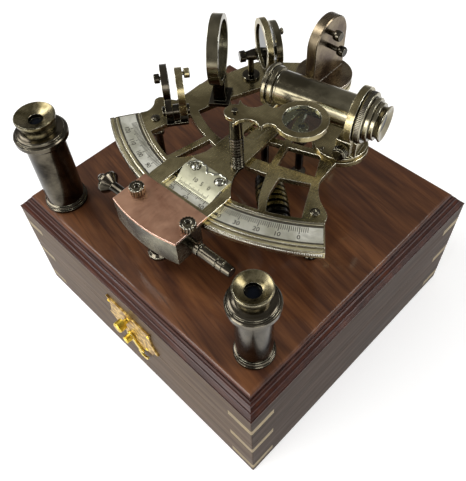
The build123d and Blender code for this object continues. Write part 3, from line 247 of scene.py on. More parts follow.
@dataclass(frozen=True)
class AgedMetal:
    """Cast or turned metal, aged in a chemical bath and rubbed back: clouded on the flats,
    with patina and painted shade in the hollows and near other parts, and rubbed edges
    lightened further as a painted highlight."""

    name: str
    bright: str  # rubbed edges, lightened past worn brass as a painted highlight
    tone: str  # the flats
    dark: str  # patina
    roughness: float
    patch: float = 14.0  # mm across a cloud of patina
    wear: float = 0.8  # how bright the edges are: rubbing and painted highlight together
    edge: float = 0.35  # mm, radius of a rubbed, highlighted edge
    brush: float = 0.5  # mm between brushed scratches; real ones are 0.05
    lines: Triple = (1.0, 9.0, 1.0)  # squeeze of the scratches
    hollow: float = 3.0  # mm, reach of the occlusion that darkens hollows and faces near other parts: patina and painted shade; 0 for none

    def material(self) -> bpy.types.Material:
        """Clouds of noise mix patina in; the angle between the rounded and the true normal
        marks the edges, lightened as wear and painted highlight, and occlusion darkens
        hollows and faces near other parts as patina and painted shade."""
        made, add, shader, place = new_material(self.name)
        cloud = add("TexNoise", Vector=place, Scale=1 / (self.patch * MM), Detail=5.0,
                    Roughness=0.6, Distortion=0.3)
        clouded = add("ValToRGB", {"stops": [(0.38, self.dark), (0.6, self.tone)]}, Fac=cloud)
        soft = add("Bevel", {"samples": 8}, Radius=self.edge * MM)
        true = add("NewGeometry")
        agree = add("VectorMath", {"operation": "DOT_PRODUCT"}, _0=soft,
                    _1=true.outputs["True Normal"])
        # painted highlight with wear: edges lighten towards the bright colour
        edge_wear_and_highlight = add("MapRange", Value=agree, From_Min=0.985, From_Max=0.86, To_Min=0.0,
                     To_Max=self.wear)
        colour = clouded
        if self.hollow:
            # patina and painted shade: occlusion darkens towards the patina colour, in hollows
            # and near other parts
            depth = add("AmbientOcclusion", {"samples": 4, "only_local": False},
                        Distance=self.hollow * MM)
            painted_shade = add("MapRange", Value=depth.outputs["AO"], From_Min=0.85, From_Max=0.3,
                       To_Min=0.0, To_Max=0.85)
            colour = add("Mix", COLOURS, Factor=painted_shade, A=colour, B=self.dark)
        worn = add("Mix", COLOURS, Factor=edge_wear_and_highlight, A=colour, B=self.bright)
        squeezed = add("Mapping", {"vector_type": "TEXTURE"}, Vector=place, Scale=self.lines)
        scratch = add("TexNoise", Vector=squeezed, Scale=1 / (self.brush * MM), Detail=3.0)
        uneven = add("Mix", {"data_type": "FLOAT"}, Factor=0.5, A=scratch, B=cloud)
        rough = add("MapRange", Value=uneven, From_Min=0.35, From_Max=0.65,
                    To_Min=self.roughness * 0.75, To_Max=self.roughness * 1.35)
        relief = add("Bump", Strength=0.1, Distance=0.05 * MM, Height=scratch, Normal=soft)
        feed(shader, Base_Color=worn, Roughness=rough, Normal=relief, Metallic=1.0)
        return made


@dataclass(frozen=True)
class PressedBrass:
    """Thin brass sheet pressed with a leafy relief and lacquered gold, as on box latches."""

    name: str
    bright: str
    dark: str
    roughness: float = 0.3
    leaf: float = 3.4  # mm across one raised leaf

    def material(self) -> bpy.types.Material:
        """Smooth cells make the leaves: high middles are gold, the lines between them dark."""
        made, add, shader, place = new_material(self.name)
        bent = add("TexNoise", Vector=place, Scale=1 / (4 * MM), Detail=2.0)
        shift = add("VectorMath", {"operation": "MULTIPLY_ADD"}, _0=bent.outputs["Color"],
                    _1=(3 * MM,) * 3, _2=place)
        cells = add("TexVoronoi", {"feature": "SMOOTH_F1"}, Vector=shift,
                    Scale=1 / (self.leaf * MM), Smoothness=0.4)
        colour = add("ValToRGB", {"stops": [(0.3, self.bright), (0.62, self.dark)]},
                     Fac=cells.outputs["Distance"])
        soft = add("Bevel", {"samples": 4}, Radius=0.4 * MM)
        relief = add("Bump", {"invert": True}, Strength=0.4, Distance=0.4 * MM,
                     Height=cells.outputs["Distance"], Normal=soft)
        feed(shader, Base_Color=colour, Normal=relief, Metallic=1.0, Roughness=self.roughness)
        return made


@dataclass(frozen=True)
class FinnedGrip:
    """The handle: black lacquer over turned brass, rubbed through to yellow metal on the
    fins' rims. Colour goes by the distance from the handle's axis."""

    name: str
    black: str
    rim: str
    start: Triple  # m, a point on the axis
    along: Triple
    rim_from: float = 11.1  # mm from the axis
    roughness: float = 0.25

    def material(self) -> bpy.types.Material:
        """The length of the cross product with the axis is the distance from it."""
        made, add, shader, place = new_material(self.name)
        off = add("VectorMath", {"operation": "SUBTRACT"}, _0=place, _1=self.start)
        across = add("VectorMath", {"operation": "CROSS_PRODUCT"}, _0=off, _1=self.along)
        radius = add("VectorMath", {"operation": "LENGTH"}, _0=across)
        rough_edge = add("TexNoise", Vector=place, Scale=1 / (1.5 * MM), Detail=3.0)
        wander = add("Math", {"operation": "MULTIPLY_ADD"}, _0=rough_edge, _1=0.8 * MM, _2=radius)
        worn = add("MapRange", Value=wander, From_Min=self.rim_from * MM,
                   From_Max=(self.rim_from + 0.6) * MM)
        colour = add("Mix", COLOURS, Factor=worn, A=self.black, B=self.rim)
        rough = add("MapRange", Value=rough_edge, To_Min=self.roughness * 0.6,
                    To_Max=self.roughness * 1.5)
        feed(shader, Base_Color=colour, Roughness=rough, Metallic=0.85)
        return made


@dataclass(frozen=True)
class Glass:
    """Polished optical glass: clear, dyed dark in the melt, or, for an eye lens, opaque
    near-black as painted shade for the dark tube behind it.
    """

    name: str
    tint: str
    clear: float = 1.0  # share of the light that goes through
    mirror: float = 0.5  # strength of the reflection; low for a bloomed (coated) lens
    roughness: float = 0.02
    dust: float = 9.0  # mm across a faint cloud of dust

    def material(self) -> bpy.types.Material:
        """Smooth glass with its tint, hazed a little by dust."""
        made, add, shader, place = new_material(self.name)
        haze = add("TexNoise", Vector=place, Scale=1 / (self.dust * MM), Detail=6.0)
        rough = add("MapRange", Value=haze, From_Min=0.45, From_Max=0.75, To_Min=self.roughness,
                    To_Max=self.roughness + 0.08)
        feed(shader, Roughness=rough, Base_Color=self.tint, Transmission_Weight=self.clear,
             IOR=1.5, Specular_IOR_Level=self.mirror)
        return made


@dataclass(frozen=True)
class Silvering:
    """Mirror glass with its silver behind it: a bright metal image under dusty glass."""

    name: str
    tint: str
    roughness: float = 0.05

    def material(self) -> bpy.types.Material:
        """A smooth metal whose sheen is broken by faint dust."""
        made, add, shader, place = new_material(self.name)
        haze = add("TexNoise", Vector=place, Scale=1 / (7 * MM), Detail=6.0)
        rough = add("MapRange", Value=haze, From_Min=0.4, From_Max=0.8, To_Min=self.roughness,
                    To_Max=self.roughness + 0.15)
        feed(shader, Roughness=rough, Base_Color=self.tint, Metallic=1.0)
        return made


@dataclass(frozen=True)
class EngravingWax:
    """Black wax rubbed into engraved lines: matt, with a little dust in it."""

    name: str
    tone: str

    def material(self) -> bpy.types.Material:
        """Two close blacks clouded at 2 mm."""
        made, add, shader, place = new_material(self.name)
        cloud = add("TexNoise", Vector=place, Scale=1 / (2 * MM), Detail=2.0)
        colour = add("Mix", COLOURS, Factor=cloud, A=self.tone, B="#262218")
        feed(shader, Base_Color=colour, Roughness=0.7)
        return made


# ---------------------------------------------------------------- shapes


@dataclass
class Shape:
    """Points in millimetres and the faces between them."""

    points: np.ndarray
    faces: list[tuple[int, ...]]

    def turned(self, degrees: float) -> "Shape":
        """Turns the shape about Z."""
        a = math.radians(degrees)
        spin = np.array([[math.cos(a), -math.sin(a), 0], [math.sin(a), math.cos(a), 0],
                         [0, 0, 1]])
        return Shape(self.points @ spin.T, self.faces)

    def shifted(self, x: float, y: float, z: float) -> "Shape":
        """Moves the shape."""
        return Shape(self.points + np.array([x, y, z]), self.faces)

    def laid(self, at: Triple, axis: Triple) -> "Shape":
        """Lays the shape's Z along an axis, starting at a point.

        Args:
            at: Where the shape's origin goes.
            axis: The direction that its Z takes.

        Returns:
            The laid shape.
        """
        z = np.array(axis, float) / np.linalg.norm(axis)
        side = np.array([0, 0, 1.0]) if abs(z[2]) < 0.9 else np.array([0, 1.0, 0])
        x = np.cross(side, z)
        x /= np.linalg.norm(x)
        return Shape(self.points @ np.stack([x, np.cross(z, x), z]) + np.array(at), self.faces)


def joined(shapes: list[Shape]) -> Shape:
    """Joins many shapes at once.

    Args:
        shapes: The shapes, in order.

    Returns:
        One shape with all their points and faces.
    """
    starts = np.cumsum([0] + [len(s.points) for s in shapes])
    faces = [tuple(i + int(start) for i in face) for start, s in zip(starts,
                                                                     shapes) for face in s.faces]
    return Shape(np.concatenate([s.points for s in shapes]), faces)


def sheet(grid: np.ndarray, around: bool = False) -> Shape:
    """Makes faces over a grid of points.

    Args:
        grid: Rows by columns by three.
        around: True where the last column meets the first.

    Returns:
        The shape, one four-sided face for each cell.
    """
    rows, columns = grid.shape[:2]
    index = np.arange(rows * columns).reshape(rows, columns)
    right = np.roll(index, -1, axis=1)
    cells = np.stack([index[:-1], right[:-1], right[1:], index[1:]], axis=-1)
    if not around:
        cells = cells[:, :-1]
    return Shape(grid.reshape(-1, 3).astype(float),
                 [tuple(c) for c in cells.reshape(-1, 4).tolist()])


def revolved(profile: list[Pair], steps: int = 48, ridges: int = 0,
             depth: float = 0.0) -> Shape:
    """Turns a profile about Z, with ridges along it where a knurl is asked for.

    The radius at an angle t is r + depth * |cos(ridges * t / 2)| on the rows that are
    not the first or the last two, so the knurl fades out at both ends.

    Args:
        profile: (radius, height) from bottom to top.
        steps: Points round the axis.
        ridges: Ridges round the axis.
        depth: Their height.

    Returns:
        The turned shape, open where the profile's ends are off the axis.
    """
    rows = np.array(profile, float)
    t = np.linspace(0, 2 * math.pi, steps, endpoint=False)
    ripple = depth * np.abs(np.cos(ridges * t / 2)) if ridges else np.zeros(steps)
    held = np.ones(len(rows))
    held[[0, -1]] = 0
    radius = rows[:, :1] + held[:, None] * ripple
    grid = np.stack([radius * np.cos(t), radius * np.sin(t),
                     np.repeat(rows[:, 1:], steps, axis=1)], axis=-1)
    return sheet(grid, around=True)


def slotted_head(radius: float, rise: float, slot: float = 0.22, deep: float = 0.7) -> Shape:
    """A domed screw head with a straight slot across it.

    A point is (x, t): y is t times the half chord of the circle at x, and the height is
    rise * (1 - (distance / radius) squared), less the slot's depth where |x| is under
    its half width. The rim runs down 0.3 mm into what carries it.

    Args:
        radius: Of the head.
        rise: Height of the dome.
        slot: Slot's width, as a share of the radius.
        deep: Slot's depth, as a share of the rise plus the rim.

    Returns:
        The head, standing on z = 0.
    """
    half = slot * radius
    wing = np.linspace(half, radius * 0.999, 7)
    x = np.concatenate([-wing[::-1], [-half * 0.98, 0, half * 0.98], wing])[:, None]
    t = np.concatenate([[-1], np.linspace(-1, 1, 13), [1]])[None, :]
    y = t * np.sqrt(np.maximum(radius ** 2 - x ** 2, 0))
    rim = 0.25 * rise
    z = rim + (rise - rim) * (1 - (x ** 2 + y ** 2) / radius ** 2)
    z = np.where(np.abs(x) < half * 0.99, z - deep * rise, z)
    z[:, [0, -1]] = -0.3
    return sheet(np.stack(np.broadcast_arrays(x, y, z), axis=-1))


def bars(middles: np.ndarray, turns: np.ndarray, sizes: np.ndarray, low: float,
         high: float) -> Shape:
    """Many small flat bars, each a box with its length along its own turned Y.

    Args:
        middles: Each bar's middle, n by 2.
        turns: Each bar's turn about Z, in radians.
        sizes: Each bar's width and length, n by 2.
        low: Height of their undersides.
        high: Height of their upper faces.

    Returns:
        The bars as one shape.
    """
    corner = np.array([[-1, -1], [1, -1], [1, 1], [-1, 1]]) / 2
    flat = corner[None] * sizes[:, None]
    c, s = np.cos(turns)[:, None], np.sin(turns)[:, None]
    plan = np.stack([c * flat[..., 0] - s * flat[..., 1], s * flat[..., 0] + c * flat[..., 1]],
                    axis=-1)
    plan = plan + middles[:, None]
    levels = [np.concatenate([plan, np.full(plan.shape[:2] + (1,), h)], axis=-1) for h in (low,
                                                                                           high)]
    points = np.concatenate(levels, axis=1).reshape(-1, 3)
    box = np.array([(0, 3, 2, 1), (4, 5, 6, 7), (0, 1, 5, 4), (1, 2, 6, 5), (2, 3, 7, 6),
                    (3, 0, 4, 7)])
    faces = (box[None] + 8 * np.arange(len(middles))[:, None, None]).reshape(-1, 4)
    return Shape(points, [tuple(f) for f in faces.tolist()])


def arc_band(first: float, last: float, section: list[Pair],
             steps: int = 180) -> Shape:
    """Carries a closed section of (radius, height) along an arc about Z.

    Args:
        first: Start, in degrees from the arc's middle line, positive to the right.
        last: End, counted the same way.
        section: The closed section.
        steps: Points along the arc.

    Returns:
        The band, with its ends closed.
    """
    t = np.radians(np.linspace(first, last, steps))[:, None]
    r, z = np.array(section, float).T
    grid = np.stack([r * np.sin(t), -r * np.cos(t), np.broadcast_to(z, (steps, len(z)))], axis=-1)
    made = sheet(grid, around=True)
    count = len(section)
    ends = [tuple(range(count)), tuple(range((steps - 1) * count, steps * count))[::-1]]
    return Shape(made.points, made.faces + ends)


def wire(path: np.ndarray, radius: float, sides: int = 8, flat: float = 1.0) -> Shape:
    """A round wire along a path in plan, smoothed through its points.

    Between two points the line is the cubic that keeps the neighbours' slope
    (Catmull-Rom), six steps to each run. The section is a circle of the given radius,
    its height times flat.

    Args:
        path: n by 3 points.
        radius: Of the wire.
        sides: Points round it.
        flat: Height against width.

    Returns:
        The wire, with closed ends.
    """
    p = np.concatenate([[2 * path[0] - path[1]], path, [2 * path[-1] - path[-2]]])
    u = np.linspace(0, 1, 6, endpoint=False)[None, :, None]
    a, b, c, d = (p[i:len(p) - 3 + i, None] for i in range(4))
    run = 0.5 * (2 * b + (c - a) * u + (2 * a - 5 * b + 4 * c - d) * u ** 2
                 + (3 * b - a - 3 * c + d) * u ** 3)
    line = np.concatenate([run.reshape(-1, 3), path[-1:]])
    ahead = np.gradient(line, axis=0)
    side = np.stack([-ahead[:, 1], ahead[:, 0], np.zeros(len(line))], axis=-1)
    side /= np.linalg.norm(side, axis=1, keepdims=True)
    t = np.linspace(0, 2 * math.pi, sides, endpoint=False)
    up = np.array([0, 0, flat])
    thin = np.ones(len(line))
    thin[[0, -1]] = 0.02
    grid = line[:, None] + radius * thin[:, None, None] * (
        np.cos(t)[None, :, None] * side[:, None] + np.sin(t)[None, :, None] * up)
    return sheet(grid, around=True)


def numeral(text: str, height: float) -> Shape:
    """Stamps a number: the plain built-in face as a thin plate about its middle.

    Args:
        text: The digits.
        height: Of a digit.

    Returns:
        The number, flat on z = 0 and 0.06 mm thick, read from -Y.
    """
    curve = bpy.data.curves.new("digits", "FONT")
    curve.body, curve.size, curve.extrude = text, height / 0.72, 0.03
    curve.align_x, curve.align_y, curve.resolution_u = "CENTER", "CENTER", 4
    curve.offset = 0.016 * height  # bolder than engraving is, so that it shows in the picture
    holder = bpy.data.objects.new("digits", curve)
    mesh = bpy.data.meshes.new_from_object(holder)
    points = np.empty(3 * len(mesh.vertices))
    mesh.vertices.foreach_get("co", points)
    shape = Shape(points.reshape(-1, 3), [tuple(p.vertices) for p in mesh.polygons])
    bpy.data.objects.remove(holder)
    bpy.data.curves.remove(curve)
    bpy.data.meshes.remove(mesh)
    return shape


# ---------------------------------------------------------------- places and pieces


@dataclass(frozen=True)
class Seat:
    """A turned and shifted place in plan, in millimetres and degrees."""

    x: float = 0.0
    y: float = 0.0
    turn: float = 0.0

    def hold(self, shape: Shape) -> Shape:
        """Turns a shape about Z, then shifts it."""
        return shape.turned(self.turn).shifted(self.x, self.y, 0)


BOX = Seat()
SEXTANT = Seat(-4.3, 103.9, 3.8)  # the index arm's pivot, and how the sextant is turned
INDEX = Seat(-4.3, 103.9, 2.6)  # the arm, turned a little back from the arc's middle
SEATS = {Body.CASE: BOX, Body.LID: BOX, Body.SEXTANT: SEXTANT, Body.STAND_SCREW: SEXTANT,
         Body.EYEPIECE: SEXTANT, Body.INDEX_ARM: INDEX, Body.CLAMP_KNOB: INDEX}


def line_lengths(number: np.ndarray, lengths: Triple) -> np.ndarray:
    """The graduations' lengths: the first at tens, the second at fives, else the third."""
    return np.select([number % 10 == 0, number % 5 == 0], lengths[:2], lengths[2])


def about_arc(radius: float, turn: float) -> Pair:
    """A point in the sextant's plan, turned from the arc's middle line to the right."""
    return radius * math.sin(math.radians(turn)), -radius * math.cos(math.radians(turn))


@dataclass
class Bench:
    """Makes finished objects, and keeps one material for each finish."""

    materials: dict[str, bpy.types.Material] = field(default_factory=dict)

    def material(self, finish: Finish) -> bpy.types.Material:
        """The finish's material, built the first time that it is asked for."""
        if finish.name not in self.materials:
            self.materials[finish.name] = finish.material()
        return self.materials[finish.name]

    def piece(self, name: str, shape: Shape, body: Body, slot: Slot, finish: Finish,
              crease: float = 35.0) -> bpy.types.Object:
        """Puts a shape in the scene as one object that rides on a body.

        Args:
            name: The object's name.
            shape: Its points in the axes of the body's seat, in millimetres.
            body: The body that carries it.
            slot: The record's material slot for its finish; not used.
            finish: Its look.
            crease: Degrees past which an edge stays sharp.

        Returns:
            The object, at the origin.
        """
        placed = SEATS[body].hold(shape)
        mesh = bpy.data.meshes.new(name)
        mesh.from_pydata((placed.points * MM).tolist(), [], placed.faces)
        shell = bmesh.new()
        shell.from_mesh(mesh)
        bmesh.ops.remove_doubles(shell, verts=shell.verts, dist=1e-6)
        bmesh.ops.recalc_face_normals(shell, faces=shell.faces)
        shell.to_mesh(mesh)
        shell.free()
        mesh.polygons.foreach_set("use_smooth", np.ones(len(mesh.polygons), bool))
        mesh.set_sharp_from_angle(angle=math.radians(crease))
        mesh.materials.append(self.material(finish))
        made = bpy.data.objects.new(name, mesh)
        bpy.context.scene.collection.objects.link(made)
        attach(made, body.value)
        LOG.info("piece %s: %d faces on %s", name, len(mesh.polygons), body.value)
        return made


def soft_shading() -> bpy.types.NodeTree:
    """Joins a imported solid's loose triangles and shades its curved faces smoothly.

    Returns:
        The geometry nodes: points within 2 micrometres are merged, and edges bent by more
        than SHARP stay sharp.
    """
    tree = bpy.data.node_groups.new("soft_shading", "GeometryNodeTree")
    for side in ("INPUT", "OUTPUT"):
        tree.interface.new_socket("Geometry", in_out=side, socket_type="NodeSocketGeometry")
    add = partial(add_node, tree)
    given = add("NodeGroupInput")
    merged = add("GeometryNodeMergeByDistance", Geometry=given, Distance=2e-6)
    bend = add("GeometryNodeInputMeshEdgeAngle")
    mild = add("FunctionNodeCompare", {"data_type": "FLOAT", "operation": "LESS_EQUAL"}, A=bend,
               B=math.radians(SHARP))
    faces = add("GeometryNodeSetShadeSmooth", {"domain": "FACE"}, Geometry=merged)
    edges = add("GeometryNodeSetShadeSmooth", {"domain": "EDGE"}, Geometry=faces,
                Shade_Smooth=mild)
    add("NodeGroupOutput", Geometry=edges)
    return tree


# ---------------------------------------------------------------- the object's finishes

WALL_X = Sheesham("sheesham_front_walls", "#3a2715", "#47331c", "#4e3820", 0.0, gloss=0.05,
                  satin=0.4, shine=0.09)
# painted shade: the side walls are coloured darker than the front and back walls, for the side
# turned from the light
WALL_Y = Sheesham("sheesham_side_walls", "#2b1d11", "#36261a", "#3e2b1d", 90.0, gloss=0.03,
                  satin=0.42, shine=0.05)
BEADS = Sheesham("sheesham_moulding_beads", "#2a1512", "#3a1f1a", "#4a2a22", 0.0, gloss=0.5,
                 hollow=1.0)
BOARD = Sheesham("sheesham_board", "#3a2116", "#54331f", "#6f472b", -9.0, gloss=0.38,
                 moulded=LID_TOP - 0.6)
INSIDE = Sheesham("sheesham_inside", "#3a231a", "#644433", "#7d5a44", 0.0, gloss=0.0, satin=0.5)
INLAY = AgedMetal("brass_inlay", "#c8b88c", "#9c8b66", "#7f6f4e", 0.45, patch=6.0, wear=0.3,
                  hollow=0.0)
GILT = AgedMetal("gilt_brass", "#fff6b8", "#f2dc62", "#c9a638", 0.34, patch=5.0, wear=0.8,
                 hollow=1.5)
LEAFY = PressedBrass("pressed_latch_brass", "#d8b76a", "#94733a", roughness=0.42)
ANTIQUE = AgedMetal("antique_brass", "#fbf7e4", "#b4a880", "#807555", 0.24, patch=30.0, edge=0.5,
                    wear=1.0)
BROWNED = AgedMetal("browned_brass_plate", "#fbf4e4", "#857862", "#54463a", 0.26, patch=24.0,
                    wear=1.0)
POLISHED = AgedMetal("polished_limb", "#ffffff", "#ddd4ac", "#a69c74", 0.4, patch=40.0,
                     hollow=0.0)
TURNED = AgedMetal("turned_antique_brass", "#f8f5e6", "#948d76", "#565040", 0.19, patch=34.0,
                   lines=(9.0, 1.0, 1.0), edge=0.35, wear=0.9)
RUBBED = AgedMetal("rubbed_brass_dish", "#f4efd8", "#857c60", "#504830", 0.26, patch=9.0,
                   wear=0.9)
BRONZE = AgedMetal("blackened_brass", "#e0dac0", "#5e584c", "#26221c", 0.17, patch=24.0,
                   wear=0.75, edge=0.35)
BLOCK = AgedMetal("blackened_block", "#dcd8c6", "#8b8774", "#5c584c", 0.25, patch=22.0, wear=0.8)
COPPER = AgedMetal("brushed_copper", "#ffe4d6", "#d0a387", "#ba8a70", 0.36, patch=26.0, edge=0.5,
                   wear=1.0, lines=(1.0, 14.0, 1.0), hollow=0.0)
SILVER = AgedMetal("silvered_brass", "#ffffff", "#fbfaee", "#d8d7c4", 0.45, patch=24.0, wear=0.7,
                   lines=(12.0, 1.0, 1.0), edge=0.12, hollow=0.8)
VERNIER = AgedMetal("silvered_vernier", "#ffffff", "#d6d4ba", "#b4b296", 0.45, patch=18.0,
                    wear=1.0, lines=(12.0, 1.0, 1.0), edge=0.3, hollow=0.8)
BRIGHT = AgedMetal("bright_steel", "#ffffff", "#e2e2d6", "#a9a896", 0.2, patch=4.0)
WAX = EngravingWax("engraving_wax", "#3b3628")
MIRROR = Silvering("silvered_glass", "#c6cbca")
LENS = Glass("crown_glass", "#aab5ad")
DARK_GLASS = Glass("dyed_glass", "#161915", 0.6)
# painted shade: the eye lens is opaque near-black, standing for the dark tube behind it
EYE_GLASS = Glass("bloomed_eye_lens_painted_shade", "#0c0f15", 0.0, mirror=0.06)
GRIP_AXIS = SEXTANT.hold(Shape(np.array([(34.0, -107.0, 138.0)] * 2)
                               + [(0, 0, 0), (*about_arc(1, 47), 0)], [])).points
GRIP = FinnedGrip("lacquered_grip", "#100e0a", "#5c5127", tuple(GRIP_AXIS[0] * MM),
                  tuple(GRIP_AXIS[1] - GRIP_AXIS[0]))

DRESS: list[tuple[Finish, tuple[str, ...]]] = [
    (BOARD, ("lid_board",)),
    (WALL_X, ("case_front_wall", "case_back_wall", "lid_front_wall", "lid_back_wall")),
    (WALL_Y, ("case_side_walls", "lid_side_walls")),
    (INSIDE, ("case_floor", "fitted_blocks")),
    (INLAY, ("case_corner_inlays", "lid_corner_inlays")),
    (LEAFY, ("latch_case_plate", "latch_lid_plate")),
    (GILT, ("latch_stud", "latch_pivot", "latch_hook", "hinge_case_leaves", "hinge_lid_leaves",
            "hinge_pins")),
    (ANTIQUE, ("sextant_frame", "index_arm", "magnifier_arm", "scope_stand", "index_shade_1",
               "horizon_shade_2")),
    (BROWNED, ("index_mirror_frame",)),
    (TURNED, ("scope_barrel", "horizon_mirror_ring", "index_shade_2", "scope_eyepiece",
              "cover_screws")),
    (RUBBED, ("spare_scope_1_eyepiece", "spare_scope_2_eyepiece")),
    (BRONZE, ("frame_legs", "handle_posts", "index_mirror_screws", "magnifier_post",
              "tangent_screw", "tangent_knob", "clamp_knob", "scope_clamp_screw",
              "horizon_bracket", "index_shade_bracket", "horizon_shade_bracket",
              "horizon_shade_1", "spare_scope_1_barrel", "spare_scope_2_barrel")),
    (GRIP, ("handle_grip",)),
    (BLOCK, ("worm_block",)),
    (COPPER, ("worm_block_cover",)),
    (SILVER, ("arc_scale",)),
    (VERNIER, ("vernier_plate",)),
    (MIRROR, ("horizon_mirror_glass", "index_mirror_glass")),
    (LENS, ("magnifier_lens", "scope_front_lens")),
    (DARK_GLASS, ("index_shade_1_glass", "index_shade_2_glass", "horizon_shade_1_glass",
                  "horizon_shade_2_glass")),
]


# ---------------------------------------------------------------- sub-assemblies


@dataclass
class Dresser:
    """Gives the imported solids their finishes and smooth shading."""

    bench: Bench

    def build(self) -> None:
        """Puts each finish on its solids, and the shading on all of them."""
        shading = soft_shading()
        for finish, nodes in DRESS:
            for name in nodes:
                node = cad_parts[name]
                node.data.materials.clear()
                node.data.materials.append(self.bench.material(finish))
                node.modifiers.new("soft_shading", "NODES").node_group = shading
            LOG.info("finish %s on %d solids", finish.name, len(nodes))


@dataclass
class ArcMarks:
    """The silvered arc's graduations and numerals, and the dark seams beside it."""

    bench: Bench
    inner: float = 150.5
    outer: float = 162.5
    top: float = FRAME_TOP  # the scale is let into the arc, flush with it
    zero_at: float = 30.0  # degrees right of the middle line
    last: int = 120
    per_ten: float = 5.0  # degrees of arc for ten on the scale
    lengths: Triple = (5.8, 5.0, 4.0)  # of the lines at tens, at fives and between them
    tick_w: float = 0.42  # engraved lines are 0.1; wider, so that they show in the picture
    numbers_at: float = 159.4  # radius of the numerals' middles
    digit: float = 3.4  # height of a digit

    def ticks(self) -> Shape:
        """One line for each unit: longer at fives and tens."""
        number = np.arange(-4, self.last + 5)
        turn = np.radians(self.zero_at - number * self.per_ten / 10)
        long = line_lengths(number, self.lengths)
        middle = self.inner + 0.5 + long / 2
        plan = np.stack([middle * np.sin(turn), -middle * np.cos(turn)], axis=-1)
        wide = np.where(number % 5 == 0, self.tick_w * 1.25, self.tick_w)
        return bars(plan, turn, np.stack([wide, long], axis=-1), self.top - 0.05, self.top + 0.04)

    def strips(self, half: float, rise: float, runs: tuple[Pair, ...]) -> Shape:
        """Flat bands in the limb's face, half an angle each way; a run is (radius, width)."""
        low, high = FRAME_TOP - 0.1, FRAME_TOP + rise
        return joined([arc_band(-half, half, [(r, low), (r + wide, low), (r + wide, high),
                                              (r, high)]) for r, wide in runs])

    def numbers(self) -> Shape:
        """The tens, with their tops towards the pivot."""
        shapes = []
        for value in range(0, self.last + 1, 10):
            turn = self.zero_at - value * self.per_ten / 10
            x, y = about_arc(self.numbers_at, turn)
            shapes.append(numeral(str(value), self.digit).turned(turn).shifted(x, y, self.top))
        return joined(shapes)

    def build(self) -> None:
        """Makes the marks and the seams."""
        self.bench.piece("arc_graduations", self.ticks(), Body.SEXTANT, Slot.BRONZE, WAX)
        self.bench.piece("arc_numerals", self.numbers(), Body.SEXTANT, Slot.BRONZE, WAX)
        seams = self.strips(35.7, 0.06, ((self.inner - 1.45, 1.4), (self.outer + 0.05, 1.0)))
        self.bench.piece("arc_seams", seams, Body.SEXTANT, Slot.BRONZE, WAX)
        lands = self.strips(35.6, 0.05, ((147.6, 0.8), (163.9, 1.6), (167.3, 2.0)))
        self.bench.piece("limb_lands", lands, Body.SEXTANT, Slot.ANTIQUE, POLISHED)


@dataclass
class LimbRack:
    """The fine slanted teeth that the worm runs in, cut in the limb's outer edge."""

    bench: Bench
    radius: float = 169.95
    low: float = 159.4
    high: float = 162.9
    pitch: float = 1.5  # the real rack has 0.8; wider, so that the teeth show
    depth: float = 0.45
    half: float = 35.6

    def build(self) -> None:
        """Radius goes up and down with the arc's length; the teeth lean with the height."""
        length = math.radians(2 * self.half) * self.radius
        steps = int(length / self.pitch) * 6
        t = np.radians(np.linspace(-self.half, self.half, steps))[None, :]
        z = np.array([self.low, self.low + 0.3, self.low + 1.2, self.high - 1.2, self.high - 0.3,
                      self.high])[:, None]
        phase = 2 * math.pi * (t * self.radius + 0.35 * (z - self.low)) / self.pitch
        held = np.array([-1.0, 0.6, 1, 1, 0.6, -1.0])[:, None]
        r = self.radius + np.where(held < 0, -0.2,
                                   self.depth * held * (0.5 + 0.5 * np.cos(phase)))
        grid = np.stack(np.broadcast_arrays(r * np.sin(t), -r * np.cos(t), z), axis=-1)
        self.bench.piece("limb_rack_teeth", sheet(grid), Body.SEXTANT, Slot.ANTIQUE, TURNED, 60)


